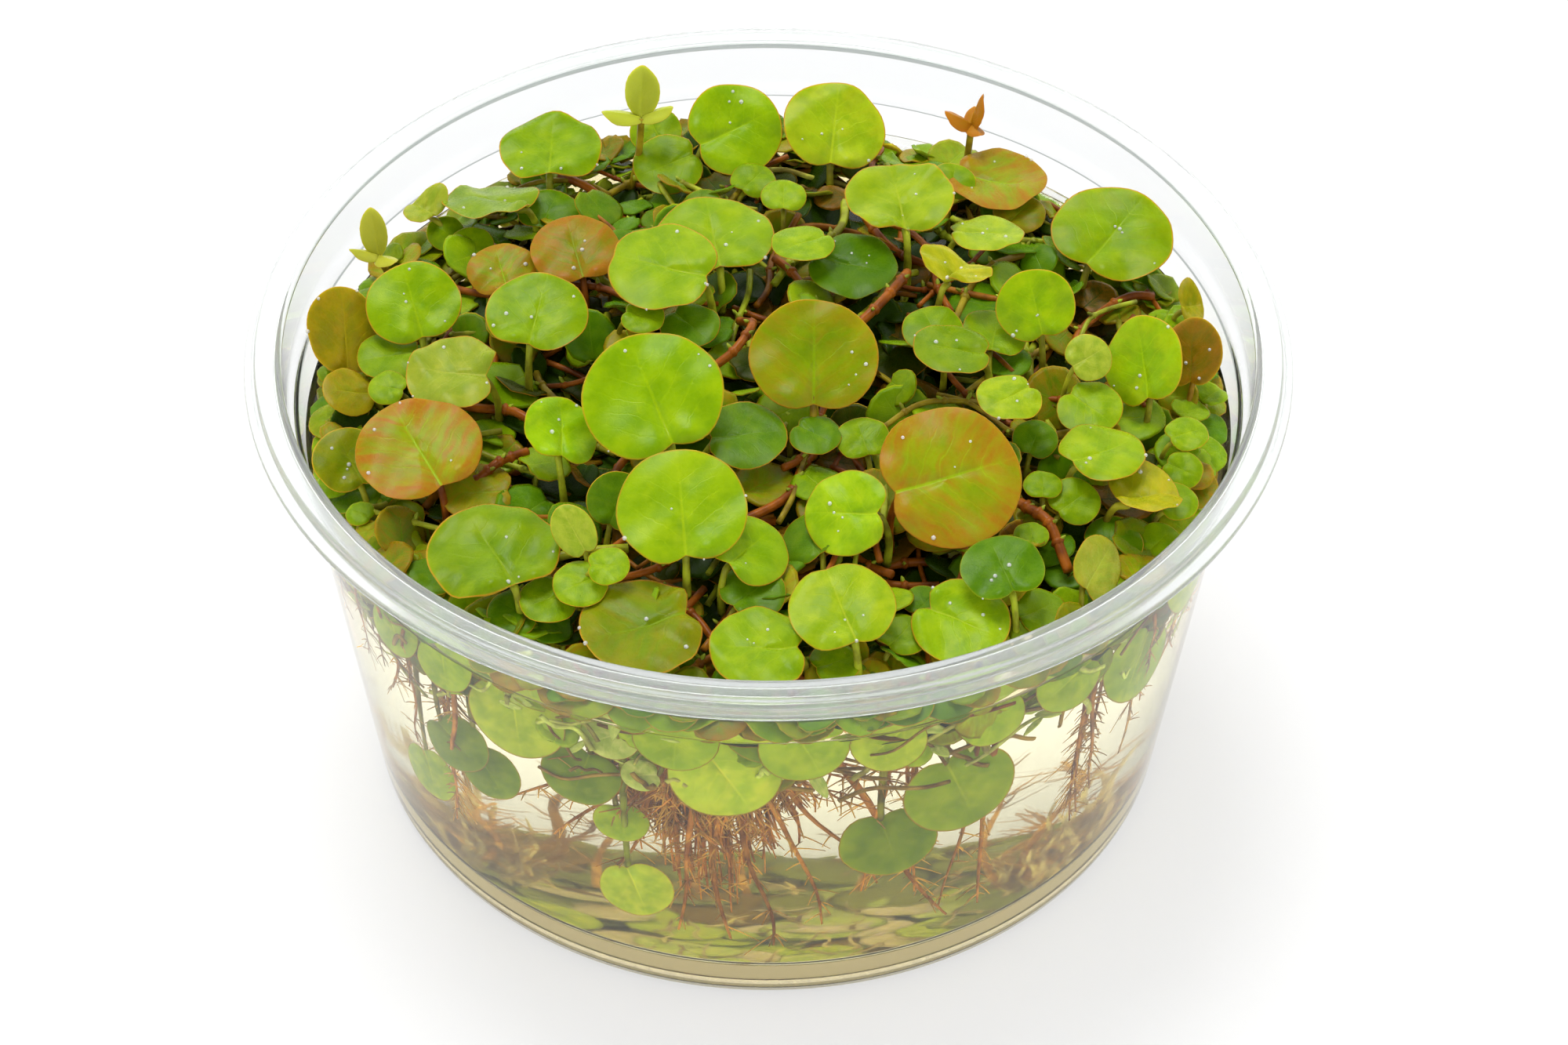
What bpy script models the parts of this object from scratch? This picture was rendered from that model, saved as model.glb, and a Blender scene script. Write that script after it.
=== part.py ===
"""Red root floater: a colony of floating water plants in a clear round cup of water.

The cup stands on z = 0 with its axis on Z, and the side that faces the viewer is -Y.
Lengths in this file are millimetres, and they are turned into metres where a mesh is made.
Compass angles are in degrees round Z: 0 points at the viewer (-Y), 90 is +X, 180 is away, 270 is -X.
"""

import math
from typing import NamedTuple

import bmesh
import bpy
from mathutils import Vector

MM = 0.001
GAP = 0.35
TURN_STEPS = 40

# Cup: the wall leans out from the foot to the ledge, a collar stands on it, and the rim is rolled over.
HEIGHT = 58.5
RIM_RADIUS = 58.5
MOUTH_RADIUS = 54.3
WALL = 0.55
FOOT_RADIUS = 47.4
FOOT_INNER_RADIUS = 41.9
FLOOR_RISE = 1.6
LEDGE_HEIGHT = 51.5
LEDGE_RADIUS = 53.5
LIP_DEPTH = 2.0

WATER_LEVEL = 46.3

# Tangle of small leaves and stems: a plug in the water that spreads out over it and rises to a low dome.
TANGLE_BOTTOM = 37.0
TANGLE_WAIST = 42.5
TANGLE_RADIUS = 49.6
TANGLE_EDGE_TOP = 48.3
TANGLE_CROWN = 54.2
TANGLE_STEPS = 24

# Leaf: a nearly round blade, notched where the stalk meets it.
LEAF_THICKNESS = 0.55
LEAF_POINTS = 12
LEAF_RING = 0.55
LEAF_WAVE = 0.03
NOTCH = 0.16
NOTCH_WIDTH = 0.42
STALK_RADIUS = 0.5
STALK_REACH = 1.2
STALK_SIDES = 5

# Small leaves that lie on the tangle.
SMALL_LEAVES = 56
SMALL_LEAF_WIDTH = 7.4
SMALL_LEAF_SPREAD = 1.6
SMALL_LEAF_POINTS = 6
SMALL_LEAF_LEAN = 22
SMALL_LEAF_LIFT = 0.4
GOLDEN_ANGLE = 137.5

# Bunch of roots: share of its width at shares of its way down, and how far its ribs stand out.
TUFT_WIDTHS = ((0.0, 0.55), (0.22, 1.0), (0.55, 0.8), (0.82, 0.42), (1.0, 0.12))
TUFT_GROOVE = 0.82
WIDE_TUFT = 12.0
POCKET_ROOM = 1.1


class Leaf(NamedTuple):
    """A round blade on a stalk: centre, width, where its upper side faces, and where the stalk leaves."""

    x: float
    y: float
    z: float
    wide: float
    lean: float
    toward: float
    stalk: float
    colour: str = "green"
    fold: float = 0.0
    slim: float = 0.95


# Leaves over the water, from the far side to the viewer's side.
LEAVES = {
    "leaf_01": Leaf(-26.5, 39.0, 53.5, 12.5, 5, 0, 0),
    "leaf_02": Leaf(-4.5, 40.5, 55.5, 12.0, 32, 0, 300),
    "leaf_03": Leaf(7.5, 41.0, 55.5, 12.5, 30, 20, 0, "lime"),
    "leaf_04": Leaf(27.0, 34.5, 52.5, 12.5, 5, 180, 250, "red"),
    "leaf_05": Leaf(-33.0, 29.0, 53.5, 12.5, 22, 180, 75),
    "leaf_06": Leaf(40.0, 23.0, 54.0, 14.5, 14, 0, 325),
    "leaf_07": Leaf(15.0, 23.5, 58.0, 13.0, 6, 0, 10, "lime", 14),
    "leaf_08": Leaf(25.0, 20.5, 56.0, 9.5, 15, 180, 270, "lime"),
    "leaf_09": Leaf(-22.5, 17.0, 55.8, 10.5, 15, 0, 15, "red"),
    "leaf_10": Leaf(-31.0, 15.5, 54.0, 8.0, 15, 0, 15, "red"),
    "leaf_11": Leaf(-6.5, 17.5, 57.5, 14.0, 5, 0, 10),
    "leaf_12": Leaf(-12.0, 8.5, 60.5, 13.5, 6, 0, 75, "lime"),
    "leaf_13": Leaf(9.5, 14.5, 56.0, 11.0, 2, 0, 250),
    "leaf_14": Leaf(21.0, 9.0, 59.5, 9.5, 5, 150, 322, "orange", 20, 0.6),
    "leaf_15": Leaf(-40.5, 7.5, 55.5, 11.0, 27, 0, 15),
    "leaf_16": Leaf(-48.3, 5.5, 53.0, 9.0, 40, 40, 20, "red", 0, 1.2),
    "leaf_17": Leaf(30.0, 4.5, 58.5, 9.0, 42, 0, 10, "lime"),
    "leaf_18": Leaf(-26.0, 2.0, 59.0, 11.5, 15, 0, 350),
    "leaf_19": Leaf(47.8, 2.0, 53.8, 7.4, 46, 320, 340, "red", 0, 1.12),
    "leaf_20": Leaf(42.0, -1.5, 55.5, 9.5, 44, 320, 350, "green", 0, 1.12),
    "leaf_21": Leaf(20.5, -3.0, 58.5, 9.5, 10, 120, 90, "lime"),
    "leaf_22": Leaf(-35.0, -6.0, 57.0, 11.0, 6, 0, 85, "lime"),
    "leaf_23": Leaf(5.0, -7.5, 61.0, 14.2, 33, 0, 0, "bronze"),
    "leaf_24": Leaf(26.5, -10.5, 58.0, 7.5, 2, 0, 125, "lime"),
    "leaf_25": Leaf(-12.5, -14.0, 60.8, 15.8, 28, 0, 20),
    "leaf_26": Leaf(-22.5, -15.5, 57.0, 9.0, 32, 60, 10),
    "leaf_27": Leaf(36.5, -16.0, 55.0, 10.0, 5, 180, 300),
    "leaf_28": Leaf(-38.0, -17.0, 55.5, 14.0, 16, 0, 30, "orange"),
    "leaf_29": Leaf(-46.0, -14.5, 51.5, 8.6, 24, 40, 32),
    "leaf_30": Leaf(41.0, -21.0, 53.0, 11.5, 14, 180, 280, "orange", 16, 0.7),
    "leaf_31": Leaf(19.5, -24.0, 58.5, 16.2, 30, 0, 290, "bronze"),
    "leaf_32": Leaf(8.7, -27.0, 55.9, 10.0, 30, 330, 85),
    "leaf_33": Leaf(-9.0, -29.0, 58.2, 14.2, 27, 0, 5),
    "leaf_34": Leaf(-29.0, -32.0, 54.5, 14.4, 6, 0, 30),
    "leaf_35": Leaf(25.0, -35.0, 55.6, 9.0, 12, 0, 20),
    "leaf_36": Leaf(-13.0, -41.5, 53.0, 14.0, 0, 0, 110),
    "leaf_37": Leaf(8.0, -40.5, 55.0, 11.5, 14, 0, 20, "lime"),
    "leaf_38": Leaf(-0.5, -44.5, 53.0, 11.2, 4, 0, 88),
    "leaf_40": Leaf(-2.0, -31.5, 54.8, 9.5, 22, 60, 320),
    "leaf_39": Leaf(20.5, -39.5, 52.2, 11.0, 10, 0, 240),
}

# Leaves under water, just behind the wall. Their stalks rise to the tangle.
SUNK_LEAVES = {
    "sunk_leaf_1": Leaf(-25.3, -38.3, 38.5, 11.5, 52, 330, 160),
    "sunk_leaf_2": Leaf(-4.0, -45.8, 37.5, 12.0, 50, 0, 200),
    "sunk_leaf_3": Leaf(20.0, -39.5, 29.5, 12.5, 48, 20, 210),
    "sunk_leaf_4": Leaf(-13.5, -41.5, 14.5, 8.5, 50, 345, 180),
}


class Tuft(NamedTuple):
    """A bunch of roots: where it hangs from the tangle, where its tip is, and how wide and deep it is."""

    x: float
    y: float
    tip_x: float
    tip_y: float
    tip_z: float
    wide: float
    deep: float


TUFTS = {
    "roots_front": Tuft(-6.0, -33.0, -4.5, -35.0, 7.0, 25.0, 12.0),
    "roots_left": Tuft(-31.0, -24.0, -31.5, -24.5, 9.0, 6.0, 6.0),
    "roots_right": Tuft(30.5, -24.5, 31.0, -25.0, 8.0, 7.0, 7.0),
    "roots_right_front": Tuft(14.0, -30.0, 15.0, -33.0, 7.0, 6.0, 5.0),
    "roots_back_left": Tuft(-20.0, 24.0, -21.0, 25.0, 9.0, 16.0, 12.0),
    "roots_back_right": Tuft(20.0, 20.0, 21.0, 21.0, 11.0, 14.0, 12.0),
}


class Stem(NamedTuple):
    """A bare stem that arches over the tangle: points as (x, y, height over the tangle), and its radius."""

    way: tuple
    radius: float


STEMS = {
    "stem_back": Stem(((9.0, 3.5, 0.9), (12.0, 6.0, 2.6), (15.0, 10.5, 3.6), (15.8, 14.5, 2.0)), 0.55),
    "stem_middle": Stem(((-7.5, -3.5, 0.9), (-3.8, -1.5, 2.6), (-1.6, 2.5, 3.2), (-3.4, 5.6, 0.9)), 0.5),
    "stem_left": Stem(((-32.5, -18.5, 0.9), (-29.5, -16.5, 2.2), (-26.5, -14.0, 0.9)), 0.5),
    "stem_right": Stem(((27.5, -21.0, 0.9), (30.5, -24.5, 2.4), (32.5, -30.0, 0.95)), 0.6),
}


class Shoot(NamedTuple):
    """A growing tip: foot on the tangle, top, and pointed blades as (compass, rise, length, width)."""

    foot: tuple
    top: tuple
    blades: tuple
    colour: str


SHOOTS = {
    "shoot_red": Shoot(
        (22.5, 39.5),
        (24.0, 41.5, 55.5),
        ((90, 70, 4.6, 3.2), (260, 35, 3.4, 2.0)),
        "red",
    ),
    "shoot_back": Shoot(
        (-17.0, 38.0),
        (-15.6, 39.8, 57.6),
        ((70, 60, 6.0, 3.2), (275, 10, 4.6, 2.6)),
        "lime",
    ),
    "shoot_left": Shoot(
        (-44.0, 19.0),
        (-45.6, 19.0, 53.0),
        ((290, 65, 6.0, 2.6), (40, 20, 3.6, 2.4)),
        "orange",
    ),
}
SHOOT_RADIUS = 0.45
SHOOT_POINTS = 6
SHOOT_NARROWING = 0.37

# Colour, roughness, opacity, transmission and index of refraction.
FINISHES = {
    "clear plastic": ((0.93, 0.96, 0.95), 0.08, 0.3, 1.0, 1.49),
    "water": ((0.93, 0.94, 0.80), 0.02, 0.4, 1.0, 1.333),
    "green": ((0.23, 0.45, 0.03), 0.38, 1.0, 0.0, 1.45),
    "lime": ((0.42, 0.60, 0.06), 0.36, 1.0, 0.0, 1.45),
    "bronze": ((0.33, 0.28, 0.05), 0.40, 1.0, 0.0, 1.45),
    "orange": ((0.48, 0.26, 0.06), 0.40, 1.0, 0.0, 1.45),
    "red": ((0.40, 0.12, 0.05), 0.42, 1.0, 0.0, 1.45),
    "stem": ((0.42, 0.17, 0.07), 0.45, 1.0, 0.0, 1.45),
    "root": ((0.36, 0.17, 0.06), 0.60, 1.0, 0.0, 1.45),
}


def material(name):
    """The Principled material of a finish, made once."""
    made = bpy.data.materials.get(name)
    if made is None:
        colour, roughness, opacity, transmission, ior = FINISHES[name]
        made = bpy.data.materials.new(name)
        made.use_nodes = True
        made.diffuse_color = (*colour, opacity)
        shader = made.node_tree.nodes["Principled BSDF"]
        shader.inputs["Base Color"].default_value = (*colour, 1.0)
        shader.inputs["Roughness"].default_value = roughness
        shader.inputs["Metallic"].default_value = 0.0
        shader.inputs["Transmission Weight"].default_value = transmission
        shader.inputs["IOR"].default_value = ior
    return made


def object_of(name, bm, finish=None):
    """Puts a bmesh drawn in millimetres into the scene, in metres, as a closed object facing out."""
    bmesh.ops.scale(bm, vec=(MM, MM, MM), verts=bm.verts)
    bmesh.ops.recalc_face_normals(bm, faces=bm.faces)
    mesh = bpy.data.meshes.new(name)
    bm.to_mesh(mesh)
    bm.free()
    mesh.shade_smooth()
    mesh.set_sharp_from_angle(angle=math.radians(40))
    if finish is not None:
        mesh.materials.append(material(finish))
    obj = bpy.data.objects.new(name, mesh)
    bpy.context.scene.collection.objects.link(obj)
    return obj


def boolean(obj, tool, operation):
    """Joins a tool object to an object, or cuts it away. The tool only shapes it and isn't a piece."""
    tool.hide_render = True
    tool.display_type = "WIRE"
    change = obj.modifiers.new(tool.name, "BOOLEAN")
    change.operation = operation
    change.solver = "EXACT"
    change.object = tool


def turned(name, profile, finish):
    """An outline of (radius, height) points, from axis to axis, turned round Z."""
    bm = bmesh.new()
    points = [bm.verts.new((radius, 0.0, height)) for radius, height in profile]
    edges = [bm.edges.new(pair) for pair in zip(points, points[1:])]
    bmesh.ops.spin(
        bm,
        geom=points + edges,
        cent=(0, 0, 0),
        axis=(0, 0, 1),
        angle=math.tau,
        steps=TURN_STEPS,
        use_merge=True,
    )
    bmesh.ops.remove_doubles(bm, verts=bm.verts, dist=0.01)
    return object_of(name, bm, finish)


def skin(bm, rings, cap_start=True, cap_end=True):
    """Sides between rings of as many points each, and flat ends. Returns the last ring's vertices."""
    loops = [[bm.verts.new(point) for point in ring] for ring in rings]
    for first, second in zip(loops, loops[1:]):
        for i in range(len(first)):
            bm.faces.new((first[i - 1], first[i], second[i], second[i - 1]))
    if cap_start:
        bm.faces.new(loops[0])
    if cap_end:
        bm.faces.new(loops[-1])
    return loops[-1]


def oval(centre, half_wide, half_deep, sides, turn=0.0, groove=1.0):
    """A level ring of points round a centre. Every second point stands in by the groove's share."""
    across, along = compass(turn + 90), compass(turn)
    ring = []
    for step in range(sides):
        angle = math.tau * step / sides
        share = 1.0 if step % 2 else groove
        offset = across * half_wide * math.cos(angle) + along * half_deep * math.sin(angle)
        ring.append(centre + offset * share)
    return ring


def compass(degrees):
    """The level direction of a compass angle."""
    angle = math.radians(degrees)
    return Vector((math.sin(angle), -math.cos(angle), 0.0))


def wall_inside(height):
    """Radius of the wall's inner side at a height below the ledge."""
    slope = (LEDGE_RADIUS - FOOT_RADIUS) / LEDGE_HEIGHT
    return FOOT_RADIUS + slope * height - WALL


def tangle_top(x, y):
    """Height of the tangle's upper side: a dome with low swells."""
    reach = min(math.hypot(x, y) / TANGLE_RADIUS, 1.0)
    angle = math.atan2(y, x)
    swell = 1.2 * math.sin(3 * angle + 1.0) + math.sin(5 * angle)
    return TANGLE_CROWN - (TANGLE_CROWN - TANGLE_EDGE_TOP) * reach**2 + swell * reach * (1 - reach)


def over_tangle(x, y, lift):
    return Vector((x, y, tangle_top(x, y) + lift))


def cup():
    floor = FLOOR_RISE + WALL
    profile = [
        (0.0, FLOOR_RISE),
        (FOOT_INNER_RADIUS - 0.9, FLOOR_RISE),
        (FOOT_INNER_RADIUS, 0.0),
        (FOOT_RADIUS - 0.8, 0.0),
        (FOOT_RADIUS + 0.05, 0.9),
        (LEDGE_RADIUS, LEDGE_HEIGHT),
        (LEDGE_RADIUS + 1.0, LEDGE_HEIGHT + 1.0),
        (MOUTH_RADIUS + WALL, HEIGHT - 1.2),
        (MOUTH_RADIUS + 0.9, HEIGHT - 0.8),
        (RIM_RADIUS - 1.2, HEIGHT - 0.9),
        (RIM_RADIUS - 0.55, HEIGHT - LIP_DEPTH),
        (RIM_RADIUS, HEIGHT - LIP_DEPTH),
        (RIM_RADIUS, HEIGHT - 1.3),
        (RIM_RADIUS - 1.1, HEIGHT - 0.6),
        (RIM_RADIUS - 1.4, HEIGHT),
        (MOUTH_RADIUS + 0.3, HEIGHT),
        (MOUTH_RADIUS, HEIGHT - 0.3),
        (LEDGE_RADIUS + 1.0 - WALL, LEDGE_HEIGHT + 1.2),
        (wall_inside(LEDGE_HEIGHT), LEDGE_HEIGHT + 0.2),
        (wall_inside(1.4), 1.4),
        (FOOT_RADIUS - 1.2, WALL),
        (FOOT_INNER_RADIUS + 0.4, WALL),
        (FOOT_INNER_RADIUS - 0.6, floor),
        (0.0, floor),
    ]
    return turned("cup", profile, "clear plastic")


def water():
    """The cup's inside up to the water level, with room cut for the tangle, the roots and sunk leaves."""
    floor = FLOOR_RISE + WALL + GAP
    profile = [
        (0.0, floor),
        (FOOT_INNER_RADIUS - 0.45, floor),
        (FOOT_INNER_RADIUS + 0.55, WALL + GAP),
        (FOOT_RADIUS - 1.4, WALL + GAP),
        (wall_inside(1.6) - GAP, 1.6),
        (wall_inside(WATER_LEVEL) - GAP, WATER_LEVEL),
        (0.0, WATER_LEVEL),
    ]
    body = turned("water", profile, "water")
    room = TANGLE_WAIST + 2 * GAP
    rooms = [column("tangle room", Vector(), TANGLE_BOTTOM - GAP, room, room, 0.0, TANGLE_STEPS)]
    rooms += [tuft_room(f"{name} room", tuft) for name, tuft in TUFTS.items()]
    for name, leaf in SUNK_LEAVES.items():
        half = leaf.wide / 2
        deep = half * math.cos(math.radians(leaf.lean)) + 1.2
        centre = Vector((leaf.x, leaf.y, 0.0))
        rooms.append(column(f"{name} room", centre, leaf.z - half, half + 0.6, deep, leaf.toward, 8))
    for cutter in rooms:
        boolean(body, cutter, "DIFFERENCE")
    return body


def column(name, centre, low, half_wide, half_deep, turn, sides):
    """An upright oval column from a height to well over the water."""
    bm = bmesh.new()
    heights = (low, HEIGHT)
    skin(bm, [oval(centre + Vector((0, 0, z)), half_wide, half_deep, sides, turn) for z in heights])
    return object_of(name, bm)


def tangle():
    """The plug of stems and small leaves: a waist in the water, a brim over it, a dome, leaves on it."""
    bm = bmesh.new()
    rings = []
    for radius, height in (
        (TANGLE_WAIST - 2.5, TANGLE_BOTTOM),
        (TANGLE_WAIST, WATER_LEVEL + 0.5),
        (TANGLE_RADIUS, WATER_LEVEL + 0.8),
    ):
        rings.append(oval(Vector((0, 0, height)), radius, radius, TANGLE_STEPS))
    for share in (1.0, 0.78, 0.42):
        ring = oval(Vector(), TANGLE_RADIUS * share, TANGLE_RADIUS * share, TANGLE_STEPS)
        rings.append([over_tangle(point.x, point.y, 0.0) for point in ring])
    last = skin(bm, rings, cap_end=False)
    crown = bm.verts.new(over_tangle(0.0, 0.0, 0.0))
    for i in range(TANGLE_STEPS):
        bm.faces.new((last[i - 1], last[i], crown))
    bmesh.ops.triangulate(bm, faces=bm.faces)
    body = object_of("leaf_tangle", bm, "green")
    for number, leaf in enumerate(small_leaves()):
        bm = bmesh.new()
        lens(bm, leaf)
        boolean(body, object_of(f"small leaf {number}", bm), "UNION")
    return body


def small_leaves():
    """The small leaves on the tangle, spread by the golden angle and kept clear of the stalks' feet."""
    feet = [stalk_foot(leaf) for leaf in LEAVES.values()]
    feet += [Vector(stem.way[end]) for stem in STEMS.values() for end in (0, -1)]
    feet += [Vector((*shoot.foot, 0.0)) for shoot in SHOOTS.values()]
    for number in range(SMALL_LEAVES):
        reach = (TANGLE_RADIUS - 3.0) * math.sqrt((number + 0.5) / SMALL_LEAVES)
        turn = math.radians(number * GOLDEN_ANGLE)
        spot = over_tangle(reach * math.cos(turn), reach * math.sin(turn), SMALL_LEAF_LIFT)
        wide = SMALL_LEAF_WIDTH + SMALL_LEAF_SPREAD * math.sin(number)
        nearest = min(math.hypot(foot.x - spot.x, foot.y - spot.y) for foot in feet)
        if nearest > wide / 2 + 0.9:
            yield Leaf(*spot, wide, SMALL_LEAF_LEAN, number * GOLDEN_ANGLE / 2, number * GOLDEN_ANGLE)


def lens(bm, leaf):
    """A small plain blade: a shallow cone above and a deeper one below that meet in a round edge."""
    across, tip, upper = leaf_axes(leaf)
    centre = Vector((leaf.x, leaf.y, leaf.z))
    edge = []
    for step in range(SMALL_LEAF_POINTS):
        angle = math.tau * step / SMALL_LEAF_POINTS
        direction = across * math.sin(angle) + tip * math.cos(angle)
        edge.append(bm.verts.new(centre + direction * leaf.wide / 2))
    for depth in (0.5, -1.0):
        heart = bm.verts.new(centre + upper * depth)
        for i in range(SMALL_LEAF_POINTS):
            bm.faces.new((edge[i - 1], edge[i], heart))


def leaf_axes(leaf):
    """The blade's across, tip and upper directions."""
    lean = math.radians(leaf.lean)
    upper = compass(leaf.toward) * math.sin(lean) + Vector((0, 0, math.cos(lean)))
    tip = -compass(leaf.stalk)
    tip = (tip - upper * tip.dot(upper)).normalized()
    return tip.cross(upper), tip, upper


def stalk_place(leaf):
    """Where the stalk meets the blade, just inside the notch."""
    reach = leaf.wide / 2 * leaf.slim * (1 - NOTCH) * 0.86
    return Vector((leaf.x, leaf.y, leaf.z)) - leaf_axes(leaf)[1] * reach


def stalk_foot(leaf):
    """The foot of a floating leaf's stalk: on the tangle, a little out from the notch."""
    spot = stalk_place(leaf) + compass(leaf.stalk) * STALK_REACH
    return over_tangle(spot.x, spot.y, GAP + 0.25)


def sunk_stalk_foot(leaf):
    """The foot of a sunk leaf's stalk: beside the tangle's waist."""
    notch = stalk_place(leaf)
    beside = Vector((notch.x, notch.y, 0.0)).normalized() * (TANGLE_WAIST + STALK_RADIUS + GAP)
    beside.z = max(notch.z + 3.0, TANGLE_BOTTOM + 2.0)
    return beside


def notched(angle):
    """A round blade's edge at an angle, as shares of its half width and half length: 0 is the tip."""
    from_stalk = math.pi - abs((angle + math.pi) % math.tau - math.pi)
    share = 1.0 - NOTCH * math.exp(-((from_stalk / NOTCH_WIDTH) ** 2))
    return share, share


def pointed(angle):
    """The edge of a blade that narrows towards both ends, as the same shares."""
    return 1.0 - SHOOT_NARROWING * abs(math.cos(angle)) ** 3, 1.0


def blade(bm, centre, axes, half_wide, half_long, points, edge_at, fold=0.0):
    """A thin blade: its upper side swells, its lower side is a shallow cone, and they meet in an edge."""
    across, tip, upper = axes
    rise = math.tan(math.radians(fold))

    def place(angle, share, side):
        wide_share, long_share = edge_at(angle)
        u = half_wide * share * wide_share * math.sin(angle)
        v = half_long * share * long_share * math.cos(angle)
        wave = LEAF_WAVE * half_wide * share**2 * math.cos(3 * angle + half_long)
        swell = side * LEAF_THICKNESS * 0.5 * (1.0 - share**4)
        return centre + across * u + tip * v + upper * (rise * abs(u) + wave + swell)

    angles = [math.tau * step / points for step in range(points)]
    edge = [bm.verts.new(place(angle, 1.0, 0)) for angle in angles]
    middle = [bm.verts.new(place(angle, LEAF_RING, 1)) for angle in angles]
    upper_heart = bm.verts.new(place(0.0, 0.0, 1))
    lower_heart = bm.verts.new(place(0.0, 0.0, -1))
    for i in range(points):
        bm.faces.new((middle[i - 1], middle[i], upper_heart))
        bm.faces.new((edge[i - 1], edge[i], middle[i], middle[i - 1]))
        bm.faces.new((edge[i - 1], edge[i], lower_heart))
    bmesh.ops.triangulate(bm, faces=bm.faces)


def tube(bm, way, radius, sides):
    """A closed tube along points."""
    rings = []
    side = None
    for i, point in enumerate(way):
        ahead = (way[min(i + 1, len(way) - 1)] - way[max(i - 1, 0)]).normalized()
        side = ahead.orthogonal() if side is None else side
        side = (side - ahead * side.dot(ahead)).normalized()
        other = ahead.cross(side)
        angles = [math.tau * step / sides for step in range(sides)]
        rings.append([point + (side * math.cos(a) + other * math.sin(a)) * radius for a in angles])
    skin(bm, rings)


def leaf_object(name, leaf, foot):
    """A blade with its stalk, which bends from the notch to its foot."""
    axes = leaf_axes(leaf)
    half = leaf.wide / 2
    bm = bmesh.new()
    centre = Vector((leaf.x, leaf.y, leaf.z))
    blade(bm, centre, axes, half, half * leaf.slim, LEAF_POINTS, notched, leaf.fold)
    made = object_of(name, bm, leaf.colour)
    notch = stalk_place(leaf)
    elbow = (notch - axes[1] * 0.9 + foot) / 2 - axes[1] * 0.45
    bm = bmesh.new()
    tube(bm, [notch + axes[1] * 0.6, elbow, foot], STALK_RADIUS, STALK_SIDES)
    boolean(made, object_of(f"{name} stalk", bm), "UNION")
    return made


def tuft_rings(tuft, room, sides, groove=1.0):
    """Level rings round a bunch of roots, from its top to its tip, with some room round it."""
    top = Vector((tuft.x, tuft.y, TANGLE_BOTTOM - GAP))
    tip = Vector((tuft.tip_x, tuft.tip_y, tuft.tip_z))
    rings = []
    for down, share in TUFT_WIDTHS:
        half_wide = tuft.wide / 2 * share + room
        half_deep = tuft.deep / 2 * share + room
        rings.append(oval(top.lerp(tip, down), half_wide, half_deep, sides, 0.0, groove))
    return rings


def tuft_object(name, tuft):
    """A bunch of roots as one ribbed body that narrows to its tip."""
    bm = bmesh.new()
    skin(bm, tuft_rings(tuft, 0.0, 14 if tuft.wide > WIDE_TUFT else 8, TUFT_GROOVE))
    return object_of(name, bm, "root")


def tuft_room(name, tuft):
    """The room in the water round a bunch of roots, open towards the tangle."""
    rings = tuft_rings(tuft, POCKET_ROOM, 8)
    rings[0] = [point + Vector((0, 0, 1.5)) for point in rings[0]]
    rings[-1] = [point - Vector((0, 0, 0.6)) for point in rings[-1]]
    bm = bmesh.new()
    skin(bm, rings)
    return object_of(name, bm)


def stem_object(name, stem):
    bm = bmesh.new()
    tube(bm, [over_tangle(*point) for point in stem.way], stem.radius, 6)
    return object_of(name, bm, "stem")


def shoot_object(name, shoot):
    """A growing tip: a thin stem with small pointed blades at its top."""
    foot = over_tangle(*shoot.foot, GAP + 0.25)
    top = Vector(shoot.top)
    bm = bmesh.new()
    tube(bm, [foot, foot.lerp(top, 0.5) + Vector((0.3, 0, 0)), top], SHOOT_RADIUS, STALK_SIDES)
    made = object_of(name, bm, shoot.colour)
    for number, (direction, rise, length, width) in enumerate(shoot.blades):
        lift = math.radians(rise)
        tip = compass(direction) * math.cos(lift) + Vector((0, 0, math.sin(lift)))
        across = compass(direction + 90)
        bm = bmesh.new()
        centre = top + tip * (length / 2 - 0.5)
        blade(bm, centre, (across, tip, across.cross(tip)), width / 2, length / 2, SHOOT_POINTS, pointed)
        boolean(made, object_of(f"{name} blade {number}", bm), "UNION")
    return made


def main():
    for obj in list(bpy.data.objects):
        bpy.data.objects.remove(obj, do_unlink=True)
    cup()
    water()
    tangle()
    for name, leaf in LEAVES.items():
        leaf_object(name, leaf, stalk_foot(leaf))
    for name, leaf in SUNK_LEAVES.items():
        leaf_object(name, leaf, sunk_stalk_foot(leaf))
    for name, tuft in TUFTS.items():
        tuft_object(name, tuft)
    for name, stem in STEMS.items():
        stem_object(name, stem)
    for name, shoot in SHOOTS.items():
        shoot_object(name, shoot)


main()
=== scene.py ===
"""Looks of a red root floater: floating water plants in a clear round cup of water.

The cup stands on z = 0 with its axis on Z, and the photograph was taken from the side of -Y.
Lengths in this file are millimetres, and they are turned into metres where a mesh is made.
Compass angles are in degrees round Z: 0 points at the viewer (-Y), 90 is +X, 180 is away, 270 is -X.
"""

import math
import random
from functools import lru_cache
from typing import NamedTuple

import bpy
import numpy as np
from mathutils import Matrix, Vector


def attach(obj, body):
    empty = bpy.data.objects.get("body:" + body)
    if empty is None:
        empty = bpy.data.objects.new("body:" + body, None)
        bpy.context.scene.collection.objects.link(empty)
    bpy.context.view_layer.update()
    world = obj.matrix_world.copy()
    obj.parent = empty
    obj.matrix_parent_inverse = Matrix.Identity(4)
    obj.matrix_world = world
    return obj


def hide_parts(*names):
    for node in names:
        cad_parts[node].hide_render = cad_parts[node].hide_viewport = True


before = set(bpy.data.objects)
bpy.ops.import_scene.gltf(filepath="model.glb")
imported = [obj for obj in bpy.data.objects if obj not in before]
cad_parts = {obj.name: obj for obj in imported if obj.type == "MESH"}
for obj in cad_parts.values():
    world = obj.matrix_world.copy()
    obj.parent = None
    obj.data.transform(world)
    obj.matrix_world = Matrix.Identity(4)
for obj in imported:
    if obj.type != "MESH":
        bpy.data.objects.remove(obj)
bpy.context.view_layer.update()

MM = 0.001
BODY = "root"

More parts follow.
